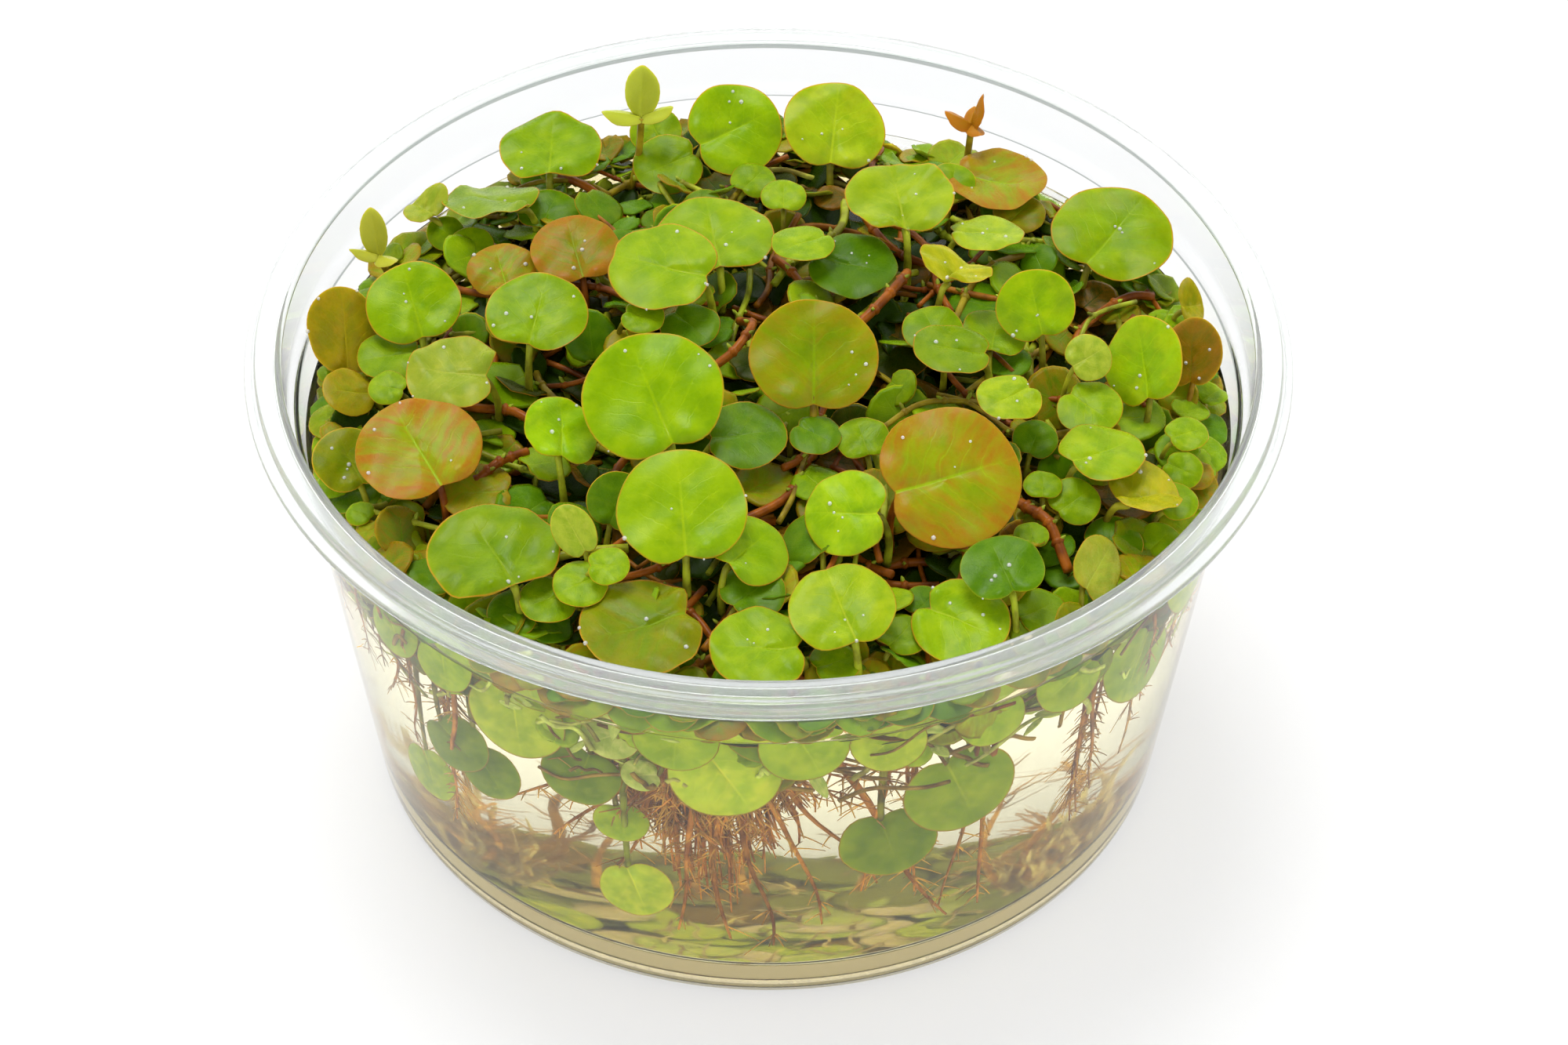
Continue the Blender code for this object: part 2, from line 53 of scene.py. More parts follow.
# Camera of the photograph, which is 2000 x 1333 pixels.
CAMERA_LENS = 87.235
CAMERA_DISTANCE = 445.0
CAMERA_ELEVATION = 43.43
CAMERA_ROLL = 0.468
CAMERA_AIM = (1.856, 0.0, 28.897)

# Light: brightness of a white surface that faces the room, the ceiling or the lamp, the lamp's size and
# place in degrees, and how often light bounces between the many surfaces of the cup and the water.
ROOM_LIGHT = 1.6
CEILING_LIGHT = 0.25
LAMP_LIGHT = 0.82
LAMP_SPREAD = 28.0
LAMP_ELEVATION = 70.0
LAMP_COMPASS = 205.0
LIGHT_BOUNCES = 24

# Floor: its colour and glow, and the warmer glow in the shade under the cup.
FLOOR_COLOUR = (0.30, 0.30, 0.30)
FLOOR_GLOW = 0.58
SHADE_GLOW = 1.2
SHADE_COLOUR = (1.0, 0.9, 0.66)

# Cup, as in the solids.
HEIGHT = 58.5
RIM_RADIUS = 58.5
MOUTH_RADIUS = 54.3
WALL = 0.55
FOOT_RADIUS = 47.4
FOOT_INNER_RADIUS = 41.9
FLOOR_RISE = 1.6
LEDGE_HEIGHT = 51.5
LEDGE_RADIUS = 53.5
LIP_DEPTH = 2.0
FOOT_TOP = 2.3
COLLAR_BOTTOM = LEDGE_HEIGHT - 0.6
RIM_BOTTOM = HEIGHT - 2.2
TURN_STEPS = 168

# The renderer takes both sides of the wall as sides to air, so a low index keeps their glare down to what
# one side to air and one to water give.
WALL_IOR = 1.2
RIM_IOR = 1.42
PLASTIC_ABSORBED = (0.9, 0.92, 0.91)
PLASTIC_DENSITY = 30.0

# Water: it laps a little into the plastic, so that no film of air shows between them.
WATER_LEVEL = 46.3
WATER_LAP = 0.15
MENISCUS = 0.9
WATER_IOR = 1.333
WATER_ABSORBED = (0.95, 0.90, 0.58)
WATER_DENSITY = 9.0
DROPS_ON_A_LEAF = 4

# Tangle of small leaves and stems, and what covers its underside.
TANGLE_WAIST = 42.5
TANGLE_RADIUS = 49.6
TANGLE_EDGE_TOP = 48.3
TANGLE_CROWN = 54.2
TANGLE_LEAVES = 900
TANGLE_STEMS = 260
UNDERSIDE_LEAVES = 480
UNDERSIDE_ROOTS = 260

# What follows the inside of the wall, over and under the water line.
FRINGE_SUNK_LEAVES = 330
FRINGE_FLOATING_LEAVES = 230
FRINGE_WALL_LEAVES = 68
FRINGE_SCALES = 150
FRINGE_STEMS = 330

# Single roots beside those in the table: a fan in front, and others on the other sides.
FAN_ROOTS = 66
BACK_ROOTS = 22

# Leaf: a nearly round blade, notched where the stalk meets it.
LEAF_THICKNESS = 0.45
LEAF_WAVE = 0.03
NOTCH = 0.21
NOTCH_WIDTH = 0.27
DENT_WIDTH = 0.22
STALK_RADIUS = 0.45
STALK_REACH = 1.2

# Colours, linear.
TINTS = {
    "green": (0.163, 0.27, 0.001),
    "lime": (0.205, 0.32, 0.003),
    "light": (0.255, 0.355, 0.006),
    "pale": (0.28, 0.35, 0.025),
    "deep": (0.085, 0.185, 0.001),
    # dark is painted shade: the tint of leaves low in the tangle, where the leaves above shade them.
    "dark": (0.022, 0.05, 0.001),
    "bronze": (0.15, 0.21, 0.001),
    "orange": (0.24, 0.25, 0.003),
    "red": (0.17, 0.15, 0.002),
    "stalk": (0.26, 0.30, 0.015),
    "stem": (0.23, 0.062, 0.004),
    # The root tints are lighter than the roots' own orange-brown: painted light, for light that reaches them
    # only through the wall and the water.
    "root": (0.60, 0.24, 0.04),
    "root hair": (0.80, 0.44, 0.09),
    # The wet tints are lighter copies of the tints above, for leaves and stems under water: painted light,
    # for light that reaches them only through the wall and the water.
    "wet": (0.50, 0.66, 0.012),
    "wet lime": (0.62, 0.74, 0.03),
    "wet pale": (0.70, 0.78, 0.16),
    "wet dark": (0.28, 0.40, 0.008),
    "wet olive": (0.24, 0.26, 0.01),
    "wet brown": (0.34, 0.20, 0.03),
    "wet tan": (0.90, 0.76, 0.42),
}
FLUSH_COLOUR = (0.31, 0.105, 0.006)
MARGIN_COLOUR = (0.44, 0.16, 0.01)
# The lower side's colour is partly the leaf's own and partly painted light, the glow of light shining
# through the blade.
UNDERSIDE_COLOUR = (0.50, 0.56, 0.06)


class Leaf(NamedTuple):
    """A round blade on a stalk: centre, width, where its upper side faces, and where the stalk leaves.

    fold is the angle of each half over the midrib, and slim is the length over the width.
    flush is how red it is, and bright is a factor on its colour.
    notch and dent are the cuts at the stalk and at the tip, and rumple and cup bend its surface.
    """

    x: float
    y: float
    z: float
    wide: float
    lean: float
    toward: float
    stalk: float
    colour: str = "green"
    fold: float = 0.0
    slim: float = 0.95
    flush: float = 0.05
    notch: float = NOTCH
    rumple: float = 1.0
    dent: float = 0.0
    cup: float = 0.0
    bright: float = 1.0


# Leaves over the water, in the places of the solids, roughly from the far side to the viewer's side.
LEAVES = {
    "leaf_01": Leaf(-26.5, 39.0, 53.5, 12.5, 5, 0, 0, "green", bright=1.1, rumple=1.6),
    "leaf_02": Leaf(-4.5, 40.5, 55.5, 12.0, 32, 0, 300, "green", bright=1.28),
    "leaf_03": Leaf(7.5, 41.0, 55.5, 12.5, 30, 20, 0, "light", flush=0.15, bright=1.15),
    "leaf_04": Leaf(27.0, 34.5, 52.5, 12.5, 5, 180, 250, "lime", flush=0.9, cup=0.08),
    "leaf_05": Leaf(-33.0, 29.0, 53.5, 12.5, 22, 180, 75, "lime", bright=0.8, rumple=1.5),
    "leaf_06": Leaf(40.0, 23.0, 54.0, 14.5, 14, 0, 325, "green", flush=0.12, bright=1.12),
    "leaf_07": Leaf(15.0, 23.5, 58.0, 13.0, 6, 0, 10, "light", 14, notch=0.33, bright=0.95, rumple=2),
    "leaf_08": Leaf(25.0, 20.5, 56.0, 9.5, 15, 180, 270, "light"),
    "leaf_09": Leaf(-22.5, 17.0, 55.8, 10.5, 15, 0, 15, "bronze", flush=0.95),
    "leaf_10": Leaf(-31.0, 15.5, 54.0, 8.0, 15, 0, 15, "green", flush=0.9, bright=1.1),
    "leaf_11": Leaf(-6.5, 17.5, 57.5, 14.0, 5, 0, 10, "lime", notch=0.26),
    "leaf_12": Leaf(-12.0, 8.5, 60.5, 13.5, 6, 0, 75, "lime", dent=0.07),
    "leaf_13": Leaf(9.5, 14.5, 56.0, 11.0, 2, 0, 250, "deep", flush=0, bright=0.8),
    "leaf_14": Leaf(
        21.0, 9.0, 59.5, 9.5, 5, 150, 322, "orange", 20, 0.6,
        flush=0.15, bright=1.37, rumple=1.8,
    ),
    "leaf_15": Leaf(-40.5, 7.5, 55.5, 11.0, 27, 0, 15, "green", bright=1.2),
    "leaf_16": Leaf(-48.3, 5.5, 53.0, 9.0, 40, 40, 20, "red", 0, 1.2, flush=0.3, bright=1.45),
    "leaf_17": Leaf(30.0, 4.5, 58.5, 9.0, 42, 0, 10, "green", flush=0.1, bright=1.35),
    "leaf_18": Leaf(-26.0, 2.0, 59.0, 11.5, 15, 0, 350, "green", bright=1.06),
    "leaf_19": Leaf(47.8, 2.0, 53.8, 7.4, 46, 320, 340, "red", 0, 1.12, flush=0.6, bright=0.75),
    "leaf_20": Leaf(42.0, -1.5, 55.5, 9.5, 44, 320, 350, "green", 0, 1.12, flush=0.15, bright=1.45),
    "leaf_21": Leaf(20.5, -3.0, 58.5, 9.5, 10, 120, 90, "green", bright=0.85),
    "leaf_22": Leaf(
        -35.0, -6.0, 57.0, 11.0, 6, 0, 85, "pale",
        flush=0.1, notch=0.28, rumple=1.8, bright=0.87,
    ),
    "leaf_23": Leaf(5.0, -7.5, 61.0, 14.2, 33, 0, 0, "green", flush=0.45, bright=0.95),
    "leaf_24": Leaf(26.5, -10.5, 58.0, 7.5, 2, 0, 125, "light"),
    "leaf_25": Leaf(-12.5, -14.0, 60.8, 15.8, 28, 0, 20, "green", flush=0.03, bright=1.26),
    "leaf_26": Leaf(
        -22.5, -15.5, 57.0, 9.0, 32, 60, 10, "green",
        flush=0.03, bright=1.5, notch=0.27, rumple=1.7,
    ),
    "leaf_27": Leaf(36.5, -16.0, 55.0, 10.0, 5, 180, 300, "lime", flush=0.1, bright=1.05),
    "leaf_28": Leaf(-38.0, -17.0, 55.5, 14.0, 16, 0, 30, "lime", flush=1),
    "leaf_29": Leaf(-46.0, -14.5, 51.5, 8.6, 24, 40, 32, "bronze", flush=0.2),
    "leaf_30": Leaf(41.0, -21.0, 53.0, 11.5, 14, 180, 280, "orange", 16, 0.7, flush=0.25, bright=1.3),
    "leaf_31": Leaf(19.5, -24.0, 58.5, 16.2, 30, 0, 290, "lime", flush=0.85),
    "leaf_32": Leaf(
        8.7, -27.0, 55.9, 10.0, 30, 330, 85, "lime",
        flush=0.03, bright=1.24, notch=0.32, rumple=1.6,
    ),
    "leaf_33": Leaf(-9.0, -29.0, 58.2, 14.2, 27, 0, 5, "lime", flush=0.03, bright=1.1, notch=0.24),
    "leaf_34": Leaf(-29.0, -32.0, 54.5, 14.4, 6, 0, 30, "green", bright=0.9, notch=0.27, rumple=2),
    "leaf_35": Leaf(25.0, -35.0, 55.6, 9.0, 12, 0, 20, "deep", flush=0, bright=0.95, notch=0.3),
    "leaf_36": Leaf(
        -13.0, -41.5, 53.0, 14.0, 0, 0, 110, "green",
        flush=0.3, bright=0.78, notch=0.25, rumple=1.8,
    ),
    "leaf_37": Leaf(8.0, -40.5, 55.0, 11.5, 14, 0, 20, "light", flush=0.03, dent=0.09),
    "leaf_38": Leaf(-0.5, -44.5, 53.0, 11.2, 4, 0, 88, "lime", notch=0.27, rumple=1.5),
    "leaf_40": Leaf(-2.0, -31.5, 54.8, 9.5, 22, 60, 320, "green", bright=1.2, notch=0.28),
    "leaf_39": Leaf(20.5, -39.5, 52.2, 11.0, 10, 0, 240, "lime", bright=1.15, notch=0.33, rumple=1.6),
}

# Leaves under water, just behind the wall, in the places of the solids.
SUNK_LEAVES = {
    "sunk_leaf_1": Leaf(-25.3, -38.3, 38.5, 11.5, 52, 330, 160, "wet lime"),
    "sunk_leaf_2": Leaf(-4.0, -45.8, 37.5, 12.0, 50, 0, 200, "wet lime", bright=1.3),
    "sunk_leaf_3": Leaf(20.0, -39.5, 29.5, 12.5, 48, 20, 210, "wet", bright=0.85),
    "sunk_leaf_4": Leaf(-13.5, -41.5, 14.5, 8.5, 50, 345, 180, "wet lime", bright=1.15),
}

# Smaller leaves between the large ones.
MIDDLE_LEAVES = (
    Leaf(-12.4, 37.5, 52.4, 9.0, 15, 0, 119, "green"),
    Leaf(-14.1, 44.5, 52.0, 6.4, 25, 0, 23, "lime"),
    Leaf(-43.0, 2.4, 52.0, 8.0, 4, 0, 101, "green"),
    Leaf(-2.5, -15.0, 56.2, 9.8, 5, 0, 278, "deep"),
    Leaf(29.0, -35.9, 50.3, 6.3, 5, 0, 302, "green"),
    Leaf(35.4, -31.1, 52.0, 6.4, 45, 60, 340, "pale", 0, 1.3, 0.3),
    Leaf(28.5, -26.7, 52.5, 3.9, 10, 0, 6, "green"),
    Leaf(35.6, -3.0, 57.4, 5.6, 30, 0, 305, "pale"),
    Leaf(35.7, -7.8, 54.2, 7.7, 10, 0, 226, "lime"),
    Leaf(25.4, 3.1, 55.6, 7.5, 15, 60, 352, "green"),
    Leaf(3.8, 15.7, 58.2, 7.6, 5, 180, 121, "lime"),
    Leaf(46.4, -10.1, 52.5, 5.2, 4, 0, 293, "lime"),
    Leaf(45.7, -14.8, 51.3, 4.8, 20, 0, 242, "green"),
    Leaf(10.4, -15.0, 55.8, 6.0, 15, 0, 16, "green"),
    Leaf(-31.5, -20.0, 52.0, 8.6, 5, 0, 91, "bronze", flush=0.5),
    Leaf(-47.2, -2.6, 51.0, 6.6, 20, 60, 97, "orange", flush=0.4),
    Leaf(-41.1, -21.6, 47.6, 9.5, 10, 0, 106, "bronze"),
    Leaf(-19.6, -36.1, 53.9, 6.2, 10, 0, 122, "lime"),
    Leaf(-23.0, -36.8, 52.2, 6.6, 5, 0, 117, "green"),
    Leaf(-20.4, -31.3, 57.0, 4.5, 40, 0, 24, "pale", 0, 1.4),
    Leaf(-16.7, -35.1, 55.6, 5.0, 10, 0, 271, "lime"),
    Leaf(-40.7, 28.0, 52.6, 7.0, 6, 0, 57, "pale", 24, 0.6, 0.2),
    Leaf(-38.3, 26.0, 50.8, 5.1, 20, 40, 61, "green"),
    Leaf(48.5, 12.1, 52.2, 6.8, 12, 0, 276, "orange", 20, 0.42, 0.3),
    Leaf(5.2, -14.8, 56.1, 6.0, 5, 0, 236, "deep"),
    Leaf(-1.4, -35.6, 52.4, 7.5, 10, 0, 313, "deep"),
    Leaf(4.8, -27.8, 53.1, 7.1, 30, 300, 19, "deep"),
    Leaf(-16.0, -23.6, 54.1, 7.1, 40, 0, 343, "deep"),
    Leaf(-14.2, 2.3, 58.3, 5.3, 5, 0, 252, "green"),
    Leaf(-8.9, 2.8, 56.7, 7.1, 5, 0, 222, "deep"),
    Leaf(-35.2, 23.5, 51.0, 5.5, 20, 0, 20, "green"),
    Leaf(-28.9, 9.3, 53.5, 5.4, 10, 0, 341, "deep"),
    Leaf(-42.7, -3.4, 52.4, 4.8, 10, 0, 77, "lime"),
    Leaf(30.0, -19.7, 53.4, 4.3, 10, 0, 358, "green"),
    Leaf(33.4, -21.1, 52.4, 6.0, 20, 0, 310, "green"),
    Leaf(29.5, -12.1, 53.3, 5.2, 20, 0, 341, "deep"),
    Leaf(18.4, 2.4, 56.8, 7.1, 10, 0, 21, "green"),
    Leaf(29.5, 29.7, 51.7, 6.5, 10, 0, 322, "bronze", flush=0.5),
    Leaf(21.6, 33.6, 53.2, 5.6, 20, 0, 351, "green"),
    Leaf(16.9, -36.0, 51.3, 5.0, 5, 0, 322, "deep"),
    Leaf(14.3, -40.7, 51.3, 5.8, 5, 0, 322, "green"),
    Leaf(7.3, -44.3, 50.7, 5.7, 5, 0, 294, "green"),
    Leaf(-26.4, -37.0, 50.6, 6.7, 5, 0, 58, "deep"),
    Leaf(-44.5, -20.7, 49.3, 3.4, 10, 0, 60, "green"),
    Leaf(44.8, -19.0, 50.5, 5.2, 10, 0, 301, "green"),
    Leaf(37.7, -24.5, 49.7, 6.8, 10, 0, 301, "deep"),
    Leaf(42.8, -24.0, 49.3, 5.1, 10, 0, 319, "green"),
    Leaf(-26.4, 29.7, 51.3, 7.4, 10, 0, 341, "deep"),
    Leaf(-2.2, 34.1, 52.8, 5.6, 10, 0, 323, "green"),
    Leaf(1.5, 28.2, 55.1, 5.5, 10, 0, 0, "lime"),
)

# Smaller leaves under water behind the front wall.
SUNK_MIDDLE_LEAVES = (
    Leaf(-35.6, -27.1, 17.5, 8.5, 50, 310, 150, "wet"),
    Leaf(38.7, -27.6, 36.0, 11.5, 55, 52, 210, "wet"),
    Leaf(12.7, -40.5, 22.5, 10.5, 48, 15, 200, "wet dark"),
    Leaf(-14.5, -38.5, 24.0, 6.0, 50, 350, 180, "wet"),
    Leaf(-18.5, -38.5, 31.0, 9.0, 48, 335, 150, "wet dark"),
    Leaf(-15.5, -42.5, 40.5, 6.5, 50, 340, 120, "wet pale"),
    Leaf(-12.5, -43.0, 35.0, 4.6, 50, 345, 100, "wet pale"),
    Leaf(-27.9, -31.5, 24.0, 8.0, 55, 320, 170, "wet dark"),
    Leaf(-31.5, -30.0, 26.5, 9.0, 50, 312, 190, "wet dark"),
    Leaf(4.0, -46.3, 42.5, 9.5, 56, 5, 200, "wet"),
    Leaf(12.5, -44.8, 42.0, 8.5, 56, 15, 160, "wet lime"),
    Leaf(23.0, -41.0, 41.5, 8.0, 52, 30, 200, "wet"),
    Leaf(31.0, -36.0, 42.0, 9.0, 50, 40, 160, "wet"),
    Leaf(44.0, -21.0, 42.5, 10.0, 55, 62, 200, "wet lime"),
    Leaf(-38.0, -28.0, 41.0, 8.0, 50, 305, 160, "wet"),
    Leaf(-9.0, -46.5, 43.5, 9.0, 55, 350, 170, "wet"),
    Leaf(0.5, -43.5, 43.0, 9.0, 42, 0, 170, "wet dark"),
    Leaf(-33.0, -35.0, 42.5, 8.0, 50, 315, 150, "wet"),
    Leaf(-47.0, -14.0, 42.0, 8.0, 55, 285, 150, "wet dark"),
    Leaf(47.5, -12.0, 42.0, 8.5, 55, 75, 200, "wet dark"),
)


class Tuft(NamedTuple):
    """A bunch of roots: where it hangs from the tangle, where its tip is, and how wide and deep it is."""

    x: float
    y: float
    tip_x: float
    tip_y: float
    tip_z: float
    wide: float
    deep: float
    roots: int
    hairs: int


TUFTS = {
    "roots_front": Tuft(-6.0, -33.0, -4.5, -35.0, 7.0, 25.0, 12.0, 210, 7),
    "roots_left": Tuft(-31.0, -24.0, -31.5, -24.5, 9.0, 6.0, 6.0, 5, 30),
    "roots_right": Tuft(30.5, -24.5, 31.0, -25.0, 8.0, 7.0, 7.0, 5, 34),
    "roots_right_front": Tuft(14.0, -30.0, 15.0, -33.0, 7.0, 6.0, 5.0, 4, 30),
    "roots_back_left": Tuft(-20.0, 24.0, -21.0, 25.0, 9.0, 16.0, 12.0, 70, 5),
    "roots_back_right": Tuft(20.0, 20.0, 21.0, 21.0, 11.0, 14.0, 12.0, 60, 5),
}
TUFT_TOP = 38.0

# How far down a root ends, from the tangle to its bunch's tip, by how far out it hangs.
ROOT_OUT = (0.12, 0.42, 0.8, 1.0)
ROOT_DOWN = (1.0, 0.82, 0.55, 0.3)

# Single roots: start, end, radius and side roots.
LONG_ROOTS = (
    ((-8, -33, 37), (-25.5, -33, 22), 0.45, 22),
    ((-8, -34, 36), (-21.5, -35, 18), 0.4, 20),
    ((-7, -35, 36), (-16, -38, 15), 0.4, 18),
    ((-6, -35, 35), (-9, -40, 7), 0.45, 22),
    ((-5, -35, 35), (-3.5, -41, 6.5), 0.5, 26),
    ((-4, -35, 35), (1, -41, 5.5), 0.45, 24),
    ((-3, -35, 35), (6, -40, 8.5), 0.4, 20),
    ((0, -35, 36), (11.5, -38, 14), 0.4, 18),
    ((6, -37, 36), (19.5, -38.5, 7), 0.5, 26),
    ((12, -37, 35), (10, -40, 14), 0.35, 14),
    ((23, -36, 34), (23, -37.5, 7.5), 0.45, 34),
    ((21, -36, 34), (18.5, -38.5, 9), 0.35, 20),
    ((-31, -30, 37), (-33, -30.5, 15), 0.45, 30),
    ((-38, -24, 40), (-39.5, -25.5, 29), 0.4, 22),
    ((-35, -26, 38), (-37, -27, 22), 0.35, 22),
    ((33, -29, 37), (35, -30, 18), 0.4, 26),
    ((38, -22, 38), (39, -23, 26), 0.35, 20),
    ((-42, -22, 43), (-43, -23, 31), 0.35, 24),
    ((-44, -16, 43), (-44.5, -18, 33), 0.35, 24),
    ((-40, -27, 43), (-41, -27, 33), 0.35, 20),
    ((-37, -30, 43), (-38, -31, 34), 0.3, 20),
    ((43, -20, 43), (44, -21, 31), 0.35, 24),
    ((40, -27, 43), (41, -27, 33), 0.35, 20),
    ((45, -13, 43), (46, -14, 34), 0.35, 20),
)

# Bare stems: points as (x, y, height over the tangle), and the radius, as in the solids.
STEMS = {
    "stem_back": (((9.0, 3.5, 0.9), (12.0, 6.0, 2.6), (15.0, 10.5, 3.6), (15.8, 14.5, 2.0)), 0.55),
    "stem_middle": (((-7.5, -3.5, 0.9), (-3.8, -1.5, 2.6), (-1.6, 2.5, 3.2), (-3.4, 5.6, 0.9)), 0.5),
    "stem_left": (((-32.5, -18.5, 0.9), (-29.5, -16.5, 2.2), (-26.5, -14.0, 0.9)), 0.5),
    "stem_right": (((27.5, -21.0, 0.9), (30.5, -24.5, 2.4), (32.5, -30.0, 0.95)), 0.6),
}

# Growing tips: foot and top as in the solids, pointed blades as (compass, rise, length, width), and colour.
SHOOTS = {
    "shoot_red": (
        (22.5, 39.5),
        (24.0, 41.5, 55.5),
        ((90, 76, 5.4, 3.6), (268, 32, 4.4, 3.0), (20, 12, 3.4, 2.2), (170, 20, 3.4, 2.2)),
        "red",
    ),
    "shoot_back": (
        (-17.0, 38.0),
        (-15.6, 39.8, 57.6),
        ((175, 72, 7.2, 4.2), (275, 14, 5.4, 3.0), (95, 20, 4.6, 2.8)),
        "lime",
    ),
    "shoot_left": (
        (-44.0, 19.0),
        (-45.6, 19.0, 53.0),
        ((200, 68, 6.6, 3.2), (290, 30, 4.4, 2.4), (40, 20, 4.2, 2.6)),
        "orange",
    ),
}


def compass(degrees):
    """The level direction of a compass angle."""
    angle = math.radians(degrees)
    return np.array((math.sin(angle), -math.cos(angle), 0.0))


def unit(vector):
    """The vector's direction, with a length of one."""
    return vector / np.linalg.norm(vector)


def wall_inside(height):
    """Radius of the wall's inner side at a height below the ledge."""
    slope = (LEDGE_RADIUS - FOOT_RADIUS) / LEDGE_HEIGHT
    return FOOT_RADIUS + slope * height - WALL


def tangle_top(x, y):
    """Height of the tangle's upper side: a dome with low swells."""
    reach = min(math.hypot(x, y) / TANGLE_RADIUS, 1.0)
    angle = math.atan2(y, x)
    swell = 1.2 * math.sin(3 * angle + 1.0) + math.sin(5 * angle)
    return TANGLE_CROWN - (TANGLE_CROWN - TANGLE_EDGE_TOP) * reach**2 + swell * reach * (1 - reach)


@lru_cache
def skin_faces(rings, sides):
    """Faces of a closed skin of points: one at the start, rings of points, and one at the end."""
    faces = []
    end = rings * sides + 1
    for i in range(sides):
        j = (i + 1) % sides
        faces.append((0, 1 + j, 1 + i))
        faces.append((end - sides + i, end - sides + j, end))
        for ring in range(rings - 1):
            first = 1 + ring * sides
            faces.append((first + i, first + j, first + sides + j, first + sides + i))
    return faces


class Heap:
    """Closed shapes that become one mesh, with what the materials read at each point.

    place is where a point lies on its blade, tint its colour, and marks are flush, underside and seed.
    """

    def __init__(self):
        self.points = []
        self.faces = []
        self.slots = []
        self.place = []
        self.tint = []
        self.marks = []
        self.count = 0

    def add(self, points, faces, tint, slot=0, place=None, marks=None):
        size = len(points)
        self.faces += [tuple(i + self.count for i in face) for face in faces]
        self.slots += [slot] * len(faces)
        self.points.append(points)
        self.tint.append(np.broadcast_to(tint, (size, 3)))
        self.place.append(np.zeros((size, 3)) if place is None else place)
        self.marks.append(np.zeros((size, 3)) if marks is None else marks)
        self.count += size

    def made(self, name, *materials):
        """The mesh object, riding on the body."""
        mesh = bpy.data.meshes.new(name)
        mesh.from_pydata(np.concatenate(self.points) * MM, [], self.faces)
        for key in ("place", "tint", "marks"):
            layer = mesh.attributes.new(key, "FLOAT_VECTOR", "POINT")
            layer.data.foreach_set("vector", np.concatenate(getattr(self, key)).astype(np.float32).ravel())
        for finish in materials:
            mesh.materials.append(finish)
        mesh.polygons.foreach_set("material_index", self.slots)
        mesh.shade_smooth()
        obj = bpy.data.objects.new(name, mesh)
        bpy.context.scene.collection.objects.link(obj)
        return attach(obj, BODY)


def add_tube(heap, path, radii, tint, sides, slot=1):
    """A closed round tube along points."""
    path = np.asarray(path, float)
    radii = np.broadcast_to(radii, len(path))
    ahead = np.gradient(path, axis=0)
    ahead /= np.linalg.norm(ahead, axis=1)[:, None]
    reference = np.eye(3)[np.argmin(np.abs(ahead).sum(axis=0))]
    side = np.cross(ahead, reference)
    side /= np.linalg.norm(side, axis=1)[:, None]
    other = np.cross(ahead, side)
    angles = np.linspace(0, math.tau, sides, endpoint=False)
    rings = path[:, None] + radii[:, None, None] * (
        side[:, None] * np.cos(angles)[None, :, None] + other[:, None] * np.sin(angles)[None, :, None]
    )
    points = np.concatenate([path[:1], rings.reshape(-1, 3), path[-1:]])
    heap.add(points, skin_faces(len(path), sides), tint, slot)


def bend(points, steps):
    """A smooth way through a few points."""
    points = np.asarray(points, float)
    knots = np.linspace(0, 1, len(points))
    fine = np.linspace(0, 1, steps)
    straight = np.stack([np.interp(fine, knots, points[:, k]) for k in range(3)], axis=1)
    for _ in range(max(2, steps // 4)):
        straight[1:-1] = straight[1:-1] / 2 + (straight[:-2] + straight[2:]) / 4
    return straight


def notched(angles, depth, dent):
    """A round blade's edge as shares of its half width and half length: angle 0 is the tip."""
    from_tip = np.abs((angles + math.pi) % math.tau - math.pi)
    share = 1.0 - depth * np.exp(-(((math.pi - from_tip) / NOTCH_WIDTH) ** 1.5))
    share -= dent * np.exp(-((from_tip / DENT_WIDTH) ** 2))
    return share, share


def pointed(angles, _depth, _dent):
    """The edge of a blade that narrows towards both ends, as the same shares."""
    return 1.0 - 0.45 * np.abs(np.cos(angles)) ** 3, np.ones_like(angles)


def leaf_axes(leaf):
    """The blade's across, tip and upper directions."""
    lean = math.radians(leaf.lean)
    upper = compass(leaf.toward) * math.sin(lean) + np.array((0, 0, math.cos(lean)))
    tip = -compass(leaf.stalk)
    tip = unit(tip - upper * tip.dot(upper))
    return np.cross(tip, upper), tip, upper


def blade_height(leaf, u, v, share, seed):
    """How far a blade's points stand out of its plane: fold, waves, furrowed midrib, lobes and dimples."""
    half = leaf.wide / 2
    bearing = np.arctan2(u, v)
    height = np.tan(math.radians(leaf.fold)) * np.abs(u) * half
    height += half * share**2 * (LEAF_WAVE * np.cos(3 * bearing + half * leaf.slim) + leaf.cup)
    height -= 0.05 * half * np.exp(-((u / 0.06) ** 2)) * (1 - share**4) * np.clip(0.8 - v, 0.2, 1.4)
    lobes = np.exp(-((np.abs(u) - 0.3) ** 2 + (v + 0.75) ** 2) / 0.05)
    height += half * lobes * (0.09 + 0.05 * np.sin(seed * 2.3) * np.sign(u)) * leaf.rumple
    dimples = np.sin(4.1 * u + seed) * np.cos(3.7 * v + 1.7 * seed) + 0.5 * np.sin(7.3 * v - 5.9 * u + seed)
    return height + 0.03 * leaf.rumple * half * dimples * (0.3 + share)


